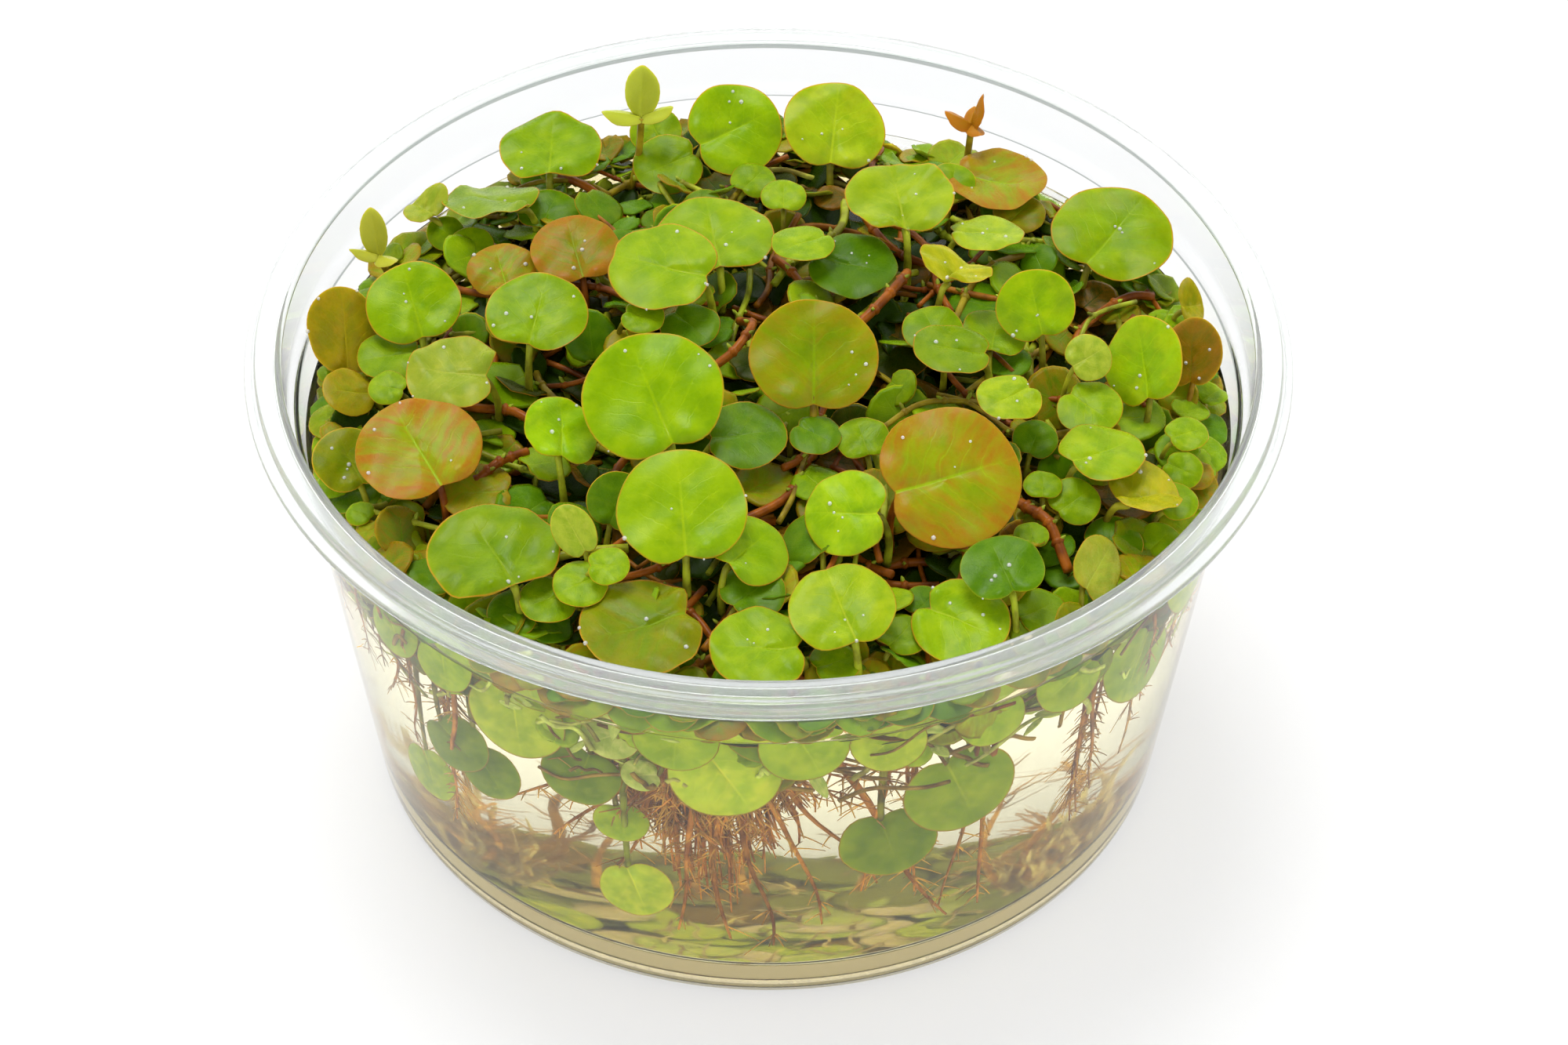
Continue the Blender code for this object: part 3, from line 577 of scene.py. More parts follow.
def add_blade(heap, leaf, rings, sides, seed, axes=None, edge_at=notched):
    """A thin blade: its upper side, edge and lower side. Returns the points of the upper side."""
    across, tip, upper = leaf_axes(leaf) if axes is None else axes
    half = leaf.wide / 2
    shares = np.sin(np.linspace(0, math.pi / 2, rings + 1))[1:]
    share = np.concatenate([shares, shares[-2::-1]])
    side = np.concatenate([np.ones(rings), -np.ones(rings - 1)])
    side[rings - 1] = 0.0
    angle = np.linspace(0, math.tau, sides, endpoint=False)
    wide_share, long_share = edge_at(angle, leaf.notch, leaf.dent)
    wobble = 1.0 + 0.012 * np.sin(2 * angle + seed) + 0.008 * np.sin(5 * angle + 2 * seed)
    u = np.outer(share, wide_share * wobble * np.sin(angle)).ravel()
    v = np.outer(share, long_share * wobble * np.cos(angle)).ravel()
    share = np.repeat(share, sides)
    side = np.repeat(side, sides)
    u = np.concatenate([[0.0], u, [0.0]])
    v = np.concatenate([[0.0], v, [0.0]])
    share = np.concatenate([[0.0], share, [0.0]])
    side = np.concatenate([[1.0], side, [-1.0]])
    height = blade_height(leaf, u, v, share, seed) + side * LEAF_THICKNESS / 2 * (1 - share**6)
    points = (
        np.array((leaf.x, leaf.y, leaf.z))
        + np.outer(u * half, across)
        + np.outer(v * half * leaf.slim, tip)
        + np.outer(height, upper)
    )
    place = np.stack([u, v, share], axis=1)
    marks = np.stack([np.full_like(u, leaf.flush), np.clip(-side, 0, 1), np.full_like(u, seed)], axis=1)
    tint = np.array(TINTS[leaf.colour]) * leaf.bright
    heap.add(points, skin_faces(2 * rings - 1, sides), tint, 0, place, marks)
    return points[: rings * sides]


def stalk_place(leaf):
    """Where the stalk meets the blade, just inside the notch."""
    reach = leaf.wide / 2 * leaf.slim * (1 - NOTCH) * 0.86
    return np.array((leaf.x, leaf.y, leaf.z)) - leaf_axes(leaf)[1] * reach


def add_stalk(heap, leaf, foot, tint):
    """A stalk that leaves the notch from under the blade and bends down to its foot."""
    _, tip, upper = leaf_axes(leaf)
    notch = stalk_place(leaf)
    elbow = (notch - tip * 0.9 + foot) / 2 - tip * 0.45
    way = bend([notch + tip * 1.2 - upper * 1.1, notch - tip * 0.4 - upper * 0.6, elbow, foot], 14)
    along = np.linspace(0, 1, 14)
    radii = STALK_RADIUS * np.interp(along, [0, 0.1, 0.22, 0.4, 1], [0.4, 0.95, 1.1, 0.9, 1.2])
    add_tube(heap, way, radii * min(1.0, 0.45 + leaf.wide / 22), tint, 8)


def mixed(first, second, share):
    """A colour between two tints."""
    return tuple(a + (b - a) * share for a, b in zip(TINTS[first], TINTS[second]))


def floating_foot(leaf):
    """The foot of a floating leaf's stalk: in the tangle, a little out from the notch."""
    spot = stalk_place(leaf) + compass(leaf.stalk) * STALK_REACH
    return np.array((spot[0], spot[1], min(tangle_top(spot[0], spot[1]), spot[2]) - 3.0))


def sunk_foot(leaf):
    """The foot of a sunk leaf's stalk: in the tangle's waist."""
    notch = stalk_place(leaf)
    inward = unit(np.array((notch[0], notch[1], 0.0))) * (TANGLE_WAIST - 1.0)
    return np.array((inward[0], inward[1], max(notch[2] + 3.0, 39.0)))


# Materials


class Nodes:
    """A material's nodes, made one after another."""

    def __init__(self, name):
        self.material = bpy.data.materials.new(name)
        self.material.use_nodes = True
        self.tree = self.material.node_tree
        self.shader = self.tree.nodes["Principled BSDF"]

    def add(self, kind, inputs=None, **settings):
        """A node of this kind."""
        node = self.tree.nodes.new(kind)
        for key, value in settings.items():
            setattr(node, key, value)
        self.feed(node, inputs or {})
        return node

    def feed(self, node, inputs):
        """Links the sockets and sets the values that a node's inputs take."""
        for key, value in inputs.items():
            if isinstance(value, bpy.types.NodeSocket):
                self.tree.links.new(value, node.inputs[key])
            else:
                node.inputs[key].default_value = value

    def math(self, operation, *values, clamp=False):
        """The result of a sum on values or sockets."""
        inputs = dict(enumerate(values))
        return self.add("ShaderNodeMath", inputs, operation=operation, use_clamp=clamp).outputs[0]

    def fade(self, value, start, end, low=0.0, high=1.0):
        """A smooth change from low at start to high at end."""
        inputs = {"Value": value, "From Min": start, "From Max": end, "To Min": low, "To Max": high}
        return self.add("ShaderNodeMapRange", inputs, interpolation_type="SMOOTHSTEP").outputs[0]

    def mix(self, share, first, second, blend="MIX"):
        """A mix of two colours."""
        node = self.add("ShaderNodeMix", data_type="RGBA", blend_type=blend)
        self.feed(node, {0: share, 6: first, 7: second})
        return node.outputs[2]

    def vector(self, name):
        """A vector attribute and its three parts."""
        node = self.add("ShaderNodeAttribute", attribute_name=name)
        parts = self.add("ShaderNodeSeparateXYZ", {0: node.outputs["Vector"]}).outputs
        return node.outputs["Color"], parts[0], parts[1], parts[2]

    def noise(self, spot, scale, detail):
        """Soft clouds."""
        inputs = {"Vector": spot, "Scale": scale, "Detail": detail}
        return self.add("ShaderNodeTexNoise", inputs).outputs[0]


def leaf_veins(n, spot, climb, beside, v, share):
    """How strongly veins show: the midrib, the side veins and the fine net between them."""
    rib = n.math("MULTIPLY", n.fade(beside, 0.035, 0.006), n.fade(v, 0.95, -0.5, 0.15, 1.0))
    branch = n.fade(n.math("PINGPONG", climb, 0.16), 0.022, 0.003)
    branch = n.math("MULTIPLY", branch, n.fade(share, 0.9, 0.5))
    net = n.add("ShaderNodeTexVoronoi", {"Vector": spot, "Scale": 8.0}, feature="DISTANCE_TO_EDGE")
    net = n.fade(net.outputs["Distance"], 0.08, 0.01)
    veins = n.math("ADD", n.math("MULTIPLY", rib, 0.6), n.math("MULTIPLY", branch, 0.2))
    return n.math("ADD", veins, n.math("MULTIPLY", net, 0.07), clamp=True)


def leaf_redness(n, climb, u, seed, share, blotch, veins):
    """How red a flushed leaf is: streaked along the side veins, more at the edge, less on the veins."""
    lengthwise = n.add("ShaderNodeCombineXYZ", {0: n.math("MULTIPLY", climb, 3.2), 1: u, 2: seed}).outputs[0]
    streak = n.noise(lengthwise, 2.2, 5.0)
    red = n.math("ADD", n.math("MULTIPLY", streak, 0.7), n.math("MULTIPLY", blotch, 0.4))
    red = n.math("ADD", red, n.math("MULTIPLY", n.math("POWER", share, 2.0), 0.22))
    red = n.fade(red, 0.38, 0.9, 0.15, 1.0)
    return n.math("MULTIPLY", red, n.fade(veins, 0.1, 0.5, 1.0, 0.25))


def leaf_material():
    """Waxy leaf: mottled green with paler veins, red-brown where flushed, and a thin orange margin."""
    n = Nodes("leaf")
    _, u, v, share = n.vector("place")
    tint = n.vector("tint")[0]
    _, flush, under, seed = n.vector("marks")
    spot = n.add("ShaderNodeCombineXYZ", {0: u, 1: v, 2: seed}).outputs[0]
    cloud = n.noise(spot, 2.3, 4.0)
    blotch = n.noise(spot, 2.6, 5.0)
    grain = n.noise(spot, 16.0, 3.0)
    beside = n.math("ABSOLUTE", u)
    climb = n.math("ADD", n.math("MULTIPLY", beside, -0.8), v)
    climb = n.math("ADD", climb, n.math("MULTIPLY", cloud, 0.35))
    veins = leaf_veins(n, spot, climb, beside, v, share)
    darker = n.mix(1.0, tint, (0.66, 0.78, 0.5, 1), "MULTIPLY")
    paler = n.mix(1.0, tint, (1.45, 1.25, 2.0, 1), "MULTIPLY")
    colour = n.mix(n.fade(cloud, 0.3, 0.7), darker, tint)
    colour = n.mix(n.fade(blotch, 0.48, 0.72, 0.0, 0.4), colour, paler)
    red = leaf_redness(n, climb, u, seed, share, blotch, veins)
    colour = n.mix(n.math("MULTIPLY", red, flush), colour, (*FLUSH_COLOUR, 1))
    colour = n.mix(veins, colour, paler)
    red_margin = n.mix(n.fade(flush, 0.1, 0.5), (*MARGIN_COLOUR, 1), (*FLUSH_COLOUR, 1))
    edge = n.math("MULTIPLY", n.fade(share, 0.965, 0.99), n.fade(flush, 0.0, 0.05, 0.15, 0.85))
    colour = n.mix(edge, colour, red_margin)
    # The lower side is paler: partly its own colour, partly painted light, the glow of light shining through
    # the blade.
    below = n.mix(flush, (*UNDERSIDE_COLOUR, 1), (*MARGIN_COLOUR, 1))
    colour = n.mix(n.math("MULTIPLY", under, 0.6), colour, below)
    relief = n.math("ADD", n.math("MULTIPLY", veins, -1.0), n.math("MULTIPLY", grain, 0.2))
    bump = n.add("ShaderNodeBump", {"Height": relief, "Strength": 0.45, "Distance": 0.12 * MM})
    shader = {
        "Base Color": colour,
        "Roughness": n.fade(grain, 0.2, 0.8, 0.22, 0.36),
        "Specular IOR Level": 0.07,
        "Subsurface Weight": 0.4,
        "Subsurface Radius": (1.0, 1.0, 0.15),
        "Subsurface Scale": 0.7 * MM,
        "Normal": bump.outputs[0],
    }
    n.feed(n.shader, shader)
    return n.material


def stem_material(name, roughness, specular):
    """Stems, stalks and roots: clouded and finely spotted."""
    n = Nodes(name)
    tint = n.vector("tint")[0]
    where = n.add("ShaderNodeNewGeometry").outputs["Position"]
    cloud = n.noise(where, 350.0, 3.0)
    fine = n.noise(where, 1800.0, 2.0)
    darker = n.mix(1.0, tint, (0.5, 0.42, 0.4, 1), "MULTIPLY")
    paler = n.mix(1.0, tint, (1.35, 1.4, 1.1, 1), "MULTIPLY")
    colour = n.mix(n.fade(cloud, 0.32, 0.68), darker, paler)
    colour = n.mix(n.fade(fine, 0.55, 0.75, 0.0, 0.4), colour, darker)
    bump = n.add("ShaderNodeBump", {"Height": fine, "Strength": 0.4, "Distance": 0.1 * MM})
    shader = {
        "Base Color": colour,
        "Roughness": roughness,
        "Specular IOR Level": specular,
        "Normal": bump.outputs[0],
    }
    n.feed(n.shader, shader)
    return n.material


def clear_material(name, ior, roughness, transmission, colour, absorbed=None, density=0.0):
    """A see-through material with plain transmission, and absorption where it has a density."""
    n = Nodes(name)
    shader = {
        "Base Color": (*colour, 1),
        "Roughness": roughness,
        "Transmission Weight": transmission,
        "IOR": ior,
    }
    n.feed(n.shader, shader)
    if density:
        volume = n.add("ShaderNodeVolumeAbsorption", {"Color": (*absorbed, 1), "Density": density})
        n.tree.links.new(volume.outputs[0], n.tree.nodes["Material Output"].inputs["Volume"])
    return n.material


# Pieces


def turned(name, profile, *materials, slot_at=None):
    """An outline of (radius, height) points, from axis to axis, turned round Z.

    slot_at gives the number of the material for a face's middle.
    """
    heap = Heap()
    profile = np.asarray(profile, float)
    angles = np.linspace(0, math.tau, TURN_STEPS, endpoint=False)
    radius, height = profile[1:-1, 0], profile[1:-1, 1]
    ring = np.stack([np.outer(radius, np.cos(angles)), np.outer(radius, np.sin(angles))], axis=-1)
    level = np.broadcast_to(height[:, None, None], (*ring.shape[:2], 1))
    rings = np.concatenate([ring, level], axis=-1).reshape(-1, 3)
    points = np.concatenate([[(0.0, 0.0, profile[0, 1])], rings, [(0.0, 0.0, profile[-1, 1])]])
    heap.add(points, skin_faces(len(radius), TURN_STEPS), (1, 1, 1))
    if slot_at is not None:
        heap.slots = [slot_at(points[list(face)].mean(axis=0)) for face in heap.faces]
    return heap.made(name, *materials)


def rounded(points, radius, steps=4):
    """The same outline with each corner rounded, by a quarter of its shorter side at most."""
    points = [np.array(point) for point in points]
    way = [points[0]]
    for before, corner, after in zip(points, points[1:], points[2:]):
        back, on = before - corner, after - corner
        cut = min(radius, np.linalg.norm(back) * 0.4, np.linalg.norm(on) * 0.4)
        start, end = corner + unit(back) * cut, corner + unit(on) * cut
        for t in np.linspace(0, 1, steps):
            way.append(start * (1 - t) ** 2 + corner * 2 * t * (1 - t) + end * t**2)
    return way + [points[-1]]


def cup_materials():
    """Wall, rim, floor, foot ring and collar, in the order of the numbers that cup_slot gives."""
    absorption = (PLASTIC_ABSORBED, PLASTIC_DENSITY)
    return (
        clear_material("cup wall", WALL_IOR, 0.02, 0.99, (0.975, 0.98, 0.98)),
        clear_material("cup rim", RIM_IOR, 0.1, 0.84, (0.87, 0.895, 0.89), *absorption),
        clear_material("cup floor", RIM_IOR, 0.01, 0.97, (0.99, 0.98, 0.95)),
        # The foot ring's dark olive tint is painted shade: the dim table in the cup's shadow, seen through
        # the ring.
        clear_material("cup foot", WALL_IOR, 0.01, 0.97, (0.40, 0.365, 0.24)),
        clear_material("cup collar", WALL_IOR, 0.02, 0.97, (0.92, 0.93, 0.94), *absorption),
    )


def cup_slot(middle):
    """The number of the cup's material for a face with this middle."""
    if middle[2] > RIM_BOTTOM:
        return 1
    if middle[2] > COLLAR_BOTTOM:
        return 4
    if middle[2] > FOOT_TOP:
        return 0
    return 2 if math.hypot(middle[0], middle[1]) < FOOT_INNER_RADIUS - 1.0 else 3


def make_cup():
    """The clear cup, in place of its solid: underside, outside, rim, inside and floor in one outline."""
    floor = FLOOR_RISE + WALL
    profile = [
        (0.0, FLOOR_RISE),
        (FOOT_INNER_RADIUS - 0.9, FLOOR_RISE),
        (FOOT_INNER_RADIUS, 0.0),
        (FOOT_RADIUS - 0.8, 0.0),
        (FOOT_RADIUS + 0.05, 0.9),
        (LEDGE_RADIUS, LEDGE_HEIGHT),
        (LEDGE_RADIUS + 1.0, LEDGE_HEIGHT + 1.0),
        (MOUTH_RADIUS + WALL, HEIGHT - 1.2),
        (MOUTH_RADIUS + 0.9, HEIGHT - 0.8),
        (RIM_RADIUS - 1.2, HEIGHT - 0.9),
        (RIM_RADIUS - 0.55, HEIGHT - LIP_DEPTH),
        (RIM_RADIUS, HEIGHT - LIP_DEPTH),
        (RIM_RADIUS, HEIGHT - 1.3),
        (RIM_RADIUS - 1.1, HEIGHT - 0.6),
        (RIM_RADIUS - 1.4, HEIGHT),
        (MOUTH_RADIUS + 0.3, HEIGHT),
        (MOUTH_RADIUS, HEIGHT - 0.3),
        (LEDGE_RADIUS + 1.0 - WALL, LEDGE_HEIGHT + 1.2),
        (wall_inside(LEDGE_HEIGHT), LEDGE_HEIGHT + 0.2),
        (wall_inside(1.4), 1.4),
        (FOOT_RADIUS - 1.2, WALL),
        (FOOT_INNER_RADIUS + 0.4, WALL),
        (FOOT_INNER_RADIUS - 0.6, floor),
        (0.0, floor),
    ]
    cup = turned("clear_cup", rounded(profile, 0.5), *cup_materials(), slot_at=cup_slot)
    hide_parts("cup")


def make_water():
    """The water, in place of its solid, with a raised edge along the wall."""
    lap = WATER_LAP
    side_top = WATER_LEVEL + MENISCUS
    profile = [
        (0.0, FLOOR_RISE + WALL - lap),
        (FOOT_INNER_RADIUS - 0.5, FLOOR_RISE + WALL - lap),
        (FOOT_INNER_RADIUS + 0.45, WALL - lap),
        (FOOT_RADIUS - 1.15, WALL - lap),
        (wall_inside(1.4) + lap, 1.4),
        (wall_inside(side_top) + lap, side_top),
        (wall_inside(side_top) - 0.1, side_top - 0.1),
        (wall_inside(side_top) - 0.5, WATER_LEVEL + 0.35),
        (wall_inside(side_top) - 1.3, WATER_LEVEL + 0.08),
        (wall_inside(side_top) - 2.6, WATER_LEVEL),
        (0.0, WATER_LEVEL),
    ]
    finish = clear_material("water", WATER_IOR, 0.0, 1.0, (1, 1, 1), WATER_ABSORBED, WATER_DENSITY)
    water = turned("still_water", rounded(profile, 0.4), finish)
    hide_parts("water")


def add_drop(drops, draw, skin):
    """A small drop of water on a point of a blade's upper side."""
    radius = draw.uniform(0.1, 0.28)
    turns = np.linspace(0.3, math.pi - 0.3, 5)
    path = skin[draw.randrange(len(skin))] + np.outer(-np.cos(turns) * radius, (0, 0, 1))
    add_tube(drops, path, np.sin(turns) * radius, (1, 1, 1), 8, 0)


def make_large_leaves(leaf_finish, stem_finish):
    """One piece for each large leaf, in place of its solid, and small drops of water on them."""
    draw = random.Random(61)
    drops = Heap()
    for number, (name, leaf) in enumerate((LEAVES | SUNK_LEAVES).items()):
        heap = Heap()
        skin = add_blade(heap, leaf, 10, 44, 1.3 + number)
        for _ in range(DROPS_ON_A_LEAF if name in LEAVES else 0):
            add_drop(drops, draw, skin)
        foot = sunk_foot(leaf) if name in SUNK_LEAVES else floating_foot(leaf)
        add_stalk(heap, leaf, foot, mixed("stalk", "stem", min(1.0, leaf.flush * 1.2)))
        piece = heap.made(f"{name}_blade", leaf_finish, stem_finish)
        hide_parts(name)
    # The drops are partly white and let only part of the light through: painted glints, so that they show as
    # white specks.
    finish = clear_material("drop", WATER_IOR, 0.12, 0.6, (1, 1, 1))
    drops.made("drops", finish)


def make_middle_leaves(leaf_finish, stem_finish):
    """Smaller leaves between the large ones and behind the wall."""
    heap = Heap()
    for number, leaf in enumerate(MIDDLE_LEAVES):
        add_blade(heap, leaf, 7, 28, 60.0 + number)
        add_stalk(heap, leaf, floating_foot(leaf), mixed("stalk", "stem", 0.2))
    for number, leaf in enumerate(SUNK_MIDDLE_LEAVES):
        add_blade(heap, leaf, 7, 28, 140.0 + number)
        add_stalk(heap, leaf, sunk_foot(leaf), mixed("stalk", "stem", 0.3))
    return heap.made("middle_leaves", leaf_finish, stem_finish)


def add_nodes(heap, way, radius, tint, draw):
    """Swollen nodes on a stem, with a small pale scale on each."""
    for at in range(3, len(way) - 3, 5):
        ahead = unit(way[at + 1] - way[at - 1])
        ends = [way[at] - ahead * 0.5, way[at], way[at] + ahead * 0.5]
        add_tube(heap, ends, np.array((0.9, 1.45, 0.9)) * radius, tint, 6)
        out = compass(draw.uniform(0, 360)) * 0.9 + np.array((0, 0, 0.8))
        add_tube(heap, [way[at], way[at] + out * 0.7, way[at] + out], (0.2, 0.26, 0.06), TINTS["pale"], 4)


def tangle_leaf(draw, deep):
    """A small leaf near the tangle's top, or a larger one deeper down that closes the gaps, darker with
    painted shade.
    """
    reach = (43.0 if deep else 47.0) * math.sqrt(draw.random())
    x, y = (compass(draw.uniform(0, 360)) * reach)[:2]
    depth = draw.uniform(4.0, 9.5) if deep else draw.uniform(-1.0, 5.0)
    wide = draw.uniform(7.5, 11.0) if deep else draw.uniform(4.5, 8.0)
    lean = draw.uniform(0, 25 if deep else 50)
    # Painted shade: the lower a leaf lies under the tangle's top, the darker its tint.
    if depth > 1.8:
        shade = "dark"
    elif depth > 0.2:
        shade = draw.choice(("deep", "dark", "deep", "green"))
    else:
        shade = draw.choice(("green", "deep", "lime", "deep"))
    toward = draw.uniform(0, 360)
    stalk = draw.uniform(0, 360)
    flush = draw.choice((0.0, 0.0, 0.1, 0.6))
    return Leaf(x, y, tangle_top(x, y) - depth, wide, lean, toward, stalk, shade, flush=flush)


def add_tangle_stem(heap, draw):
    """A thin stem that winds through the tangle's upper part."""
    reach = 45.0 * math.sqrt(draw.random())
    start = compass(draw.uniform(0, 360)) * reach
    start[2] = tangle_top(start[0], start[1]) - draw.uniform(-0.4, 5.0)
    heading = draw.uniform(0, 360)
    way = [start]
    for _ in range(4):
        heading += draw.uniform(-35, 35)
        following = way[-1] + compass(heading) * draw.uniform(3.0, 5.5)
        flat = math.hypot(following[0], following[1])
        if flat > 48.0:
            following[:2] *= 48.0 / flat
        top = tangle_top(following[0], following[1]) + 0.6
        following[2] = min(way[-1][2] + draw.uniform(-1.2, 1.2), top)
        way.append(following)
    tint = mixed("stalk", "stem", draw.choice((0.0, 0.1, 0.5, 0.9, 1.0, 1.0)))
    radius = draw.uniform(0.25, 0.55)
    way = bend(way, 15)
    add_tube(heap, way, radius, tint, 6)
    add_nodes(heap, way, radius, tint, draw)


def make_tangle(leaf_finish, stem_finish):
    """The small leaves and thin stems that fill the space under the large leaves, down to the waist."""
    draw = random.Random(7)
    leaves = Heap()
    stems = Heap()
    for number in range(TANGLE_LEAVES):
        leaf = tangle_leaf(draw, number % 2 == 0)
        add_blade(leaves, leaf, 3, 16, 200.0 + number)
    for _ in range(TANGLE_STEMS):
        add_tangle_stem(stems, draw)
    piece = leaves.made("tangle_leaves", leaf_finish)
    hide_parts("leaf_tangle")
    stems.made("tangle_stems", leaf_finish, stem_finish)


def fringe_leaf(draw, turn, z, wide, lean, back):
    """A leaf whose outer edge is just inside the wall, or further back."""
    sunk = z < WATER_LEVEL - 0.5
    # Sunk leaves on the viewer's half get darker tints as painted shade, and those on the far half get paler
    # tints as painted light.
    if sunk and math.cos(math.radians(turn)) > 0.0:
        colour = draw.choice(("wet dark", "wet olive", "wet", "wet dark", "wet"))
    elif sunk:
        colour = draw.choice(("wet", "wet lime", "wet pale", "wet tan", "wet pale"))
    else:
        colour = draw.choice(("green", "deep", "lime", "bronze"))
    reach = wall_inside(z) - 0.6 - wide / 2 * math.cos(math.radians(lean)) - back
    x, y = (compass(turn) * reach)[:2]
    toward = turn + draw.uniform(-40, 40)
    stalk = draw.uniform(0, 360)
    fold = draw.uniform(0, 24)
    slim = draw.uniform(0.65, 1.1)
    flush = draw.choice((0.0, 0.05, 0.3, 0.7))
    return Leaf(x, y, z, wide, lean, toward, stalk, colour, fold, slim, flush, rumple=1.6)


def add_fringe_leaves(heap, draw):
    """Leaves under water, leaves on the water, and a row of leaves that lie against the wall."""
    for number in range(FRINGE_SUNK_LEAVES):
        turn = draw.uniform(0, 360)
        front = math.cos(math.radians(turn)) > 0.05
        z = draw.uniform(37.0 if front else 42.5, 46.0)
        wide = draw.uniform(3.0, 7.5)
        lean = draw.uniform(20, 80)
        leaf = fringe_leaf(draw, turn, z, wide, lean, draw.uniform(3.5 if front else 0.0, 10.0))
        add_blade(heap, leaf, 3, 16, 900.0 + number)
    for number in range(FRINGE_FLOATING_LEAVES):
        turn = draw.uniform(0, 360)
        z = draw.uniform(46.4, 49.5)
        wide = draw.uniform(4.0, 7.5)
        lean = draw.uniform(0, 30)
        leaf = fringe_leaf(draw, turn, z, wide, lean, draw.choice((-0.2, 0.1, 0.8, 2.0, 3.0)))
        add_blade(heap, leaf, 3, 16, 1500.0 + number)
    for number in range(FRINGE_WALL_LEAVES):
        turn = number * 360 / FRINGE_WALL_LEAVES + draw.uniform(-2, 2)
        wide = draw.uniform(5.0, 7.5)
        lean = draw.uniform(5, 22)
        leaf = fringe_leaf(draw, turn, draw.uniform(46.9, 48.6), wide, lean, -0.3)
        leaf = leaf._replace(slim=1.0, stalk=turn + 180, fold=0.0)
        add_blade(heap, leaf, 5, 20, 2000.0 + number)


def add_scale(heap, draw, number):
    """A narrow pale scale leaf under water."""
    turn = draw.uniform(0, 360)
    z = draw.uniform(36.0 if math.cos(math.radians(turn)) > 0.05 else 42.0, 46.0)
    x, y = (compass(turn) * (wall_inside(z) - draw.uniform(3.5, 9.0)))[:2]
    wide = draw.uniform(0.9, 1.8)
    lean = draw.uniform(20, 90)
    stalk = draw.uniform(0, 360)
    slim = draw.uniform(2.0, 3.6)
    leaf = Leaf(x, y, z, wide, lean, turn, stalk, "wet pale", 20, slim, 0.0)
    add_blade(heap, leaf, 3, 10, 1700.0 + number, edge_at=pointed)


def add_fringe_stem(heap, draw):
    """A thin stem that runs along the wall."""
    turn = draw.uniform(0, 360)
    z = draw.uniform(34.0 if math.cos(math.radians(turn)) > 0.05 else 42.0, 47.0)
    reach = wall_inside(z) - draw.uniform(3.5, 11.0)
    slope = draw.uniform(-1.2, 1.2)
    stride = draw.uniform(-4.0, 4.0)
    way = []
    for step in range(5):
        at = compass(turn + step * stride) * (reach + draw.uniform(-0.7, 0.7))
        at[2] = min(z + slope * step + draw.uniform(-1.2, 1.2), 49.0)
        way.append(at)
    tint = mixed("wet pale", "wet brown", draw.choice((0.0, 0.2, 0.5, 1.0, 1.0)))
    add_tube(heap, bend(way, 14), draw.uniform(0.15, 0.4), tint, 5)


def make_fringe(leaf_finish, stem_finish):
    """Small leaves, scales and thin stems along the inside of the wall, over and under the water line."""
    draw = random.Random(21)
    heap = Heap()
    add_fringe_leaves(heap, draw)
    for number in range(FRINGE_SCALES):
        add_scale(heap, draw, number)
    for _ in range(FRINGE_STEMS):
        add_fringe_stem(heap, draw)
    return heap.made("wall_fringe", leaf_finish, stem_finish)


def add_root(heap, draw, start, end, radius, sway, hairs, colour="root", slot=0):
    """A root that hangs down in soft bends, with side roots that slope down from it."""
    way = [start]
    for share in (0.3, 0.55, 0.8):
        offset = np.array([draw.uniform(-sway, sway), draw.uniform(-sway, sway), 0.0])
        way.append(start * (1 - share) + end * share + offset)
    way.append(end)
    path = bend(way, 13)
    tint = np.array(TINTS[colour]) * draw.uniform(0.6, 1.2)
    add_tube(heap, path, np.linspace(radius, radius * 0.3, len(path)), tint, 5, slot)
    size = min(1.0, np.linalg.norm(end - start) / 14.0)
    for _ in range(hairs):
        at = draw.randint(2, len(path) - 2)
        length = draw.uniform(1.2, 4.6) * size
        out = compass(draw.uniform(0, 360)) * length * draw.uniform(0.5, 0.9)
        out[2] = -length * draw.uniform(0.2, 0.9)
        hair = [path[at], path[at] + out * 0.5 + np.array([0, 0, 0.25]), path[at] + out]
        tint = np.array(TINTS["root hair"]) * draw.uniform(0.6, 1.1)
        add_tube(heap, bend(hair, 5), np.linspace(0.13, 0.05, 5), tint, 4, slot)


def make_roots(finish):
    """Each bunch of roots, in place of its solid."""
    for number, (name, tuft) in enumerate(TUFTS.items()):
        draw = random.Random(40 + number)
        heap = Heap()
        for index in range(tuft.roots):
            turn = draw.uniform(0, math.tau)
            out = math.sqrt(draw.random()) * min(1.0, index / 3)
            aside = np.array([tuft.wide * math.cos(turn), tuft.deep * math.sin(turn), 0.0]) * out / 2
            start = np.array([tuft.x, tuft.y, TUFT_TOP + draw.uniform(-1.0, 2.0)]) + aside * 0.6
            shortest = 0.55 if index > 2 else 0.9
            reach = float(np.interp(out, ROOT_OUT, ROOT_DOWN)) * draw.uniform(shortest, 1.0)
            middle = np.array([tuft.tip_x - tuft.x, tuft.tip_y - tuft.y, tuft.tip_z - TUFT_TOP])
            end = np.array([tuft.x, tuft.y, TUFT_TOP]) + middle * reach + aside * draw.uniform(0.8, 1.0)
            # Painted light: bunches on the far side are pale tan, lighter than the roots' own colour.
            colour = "root" if tuft.y < 0 else "wet tan"
            add_root(heap, draw, start, end, draw.uniform(0.2, 0.42), 0.9, tuft.hairs, colour)
        piece = heap.made(f"{name}_strands", finish)
        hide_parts(name)


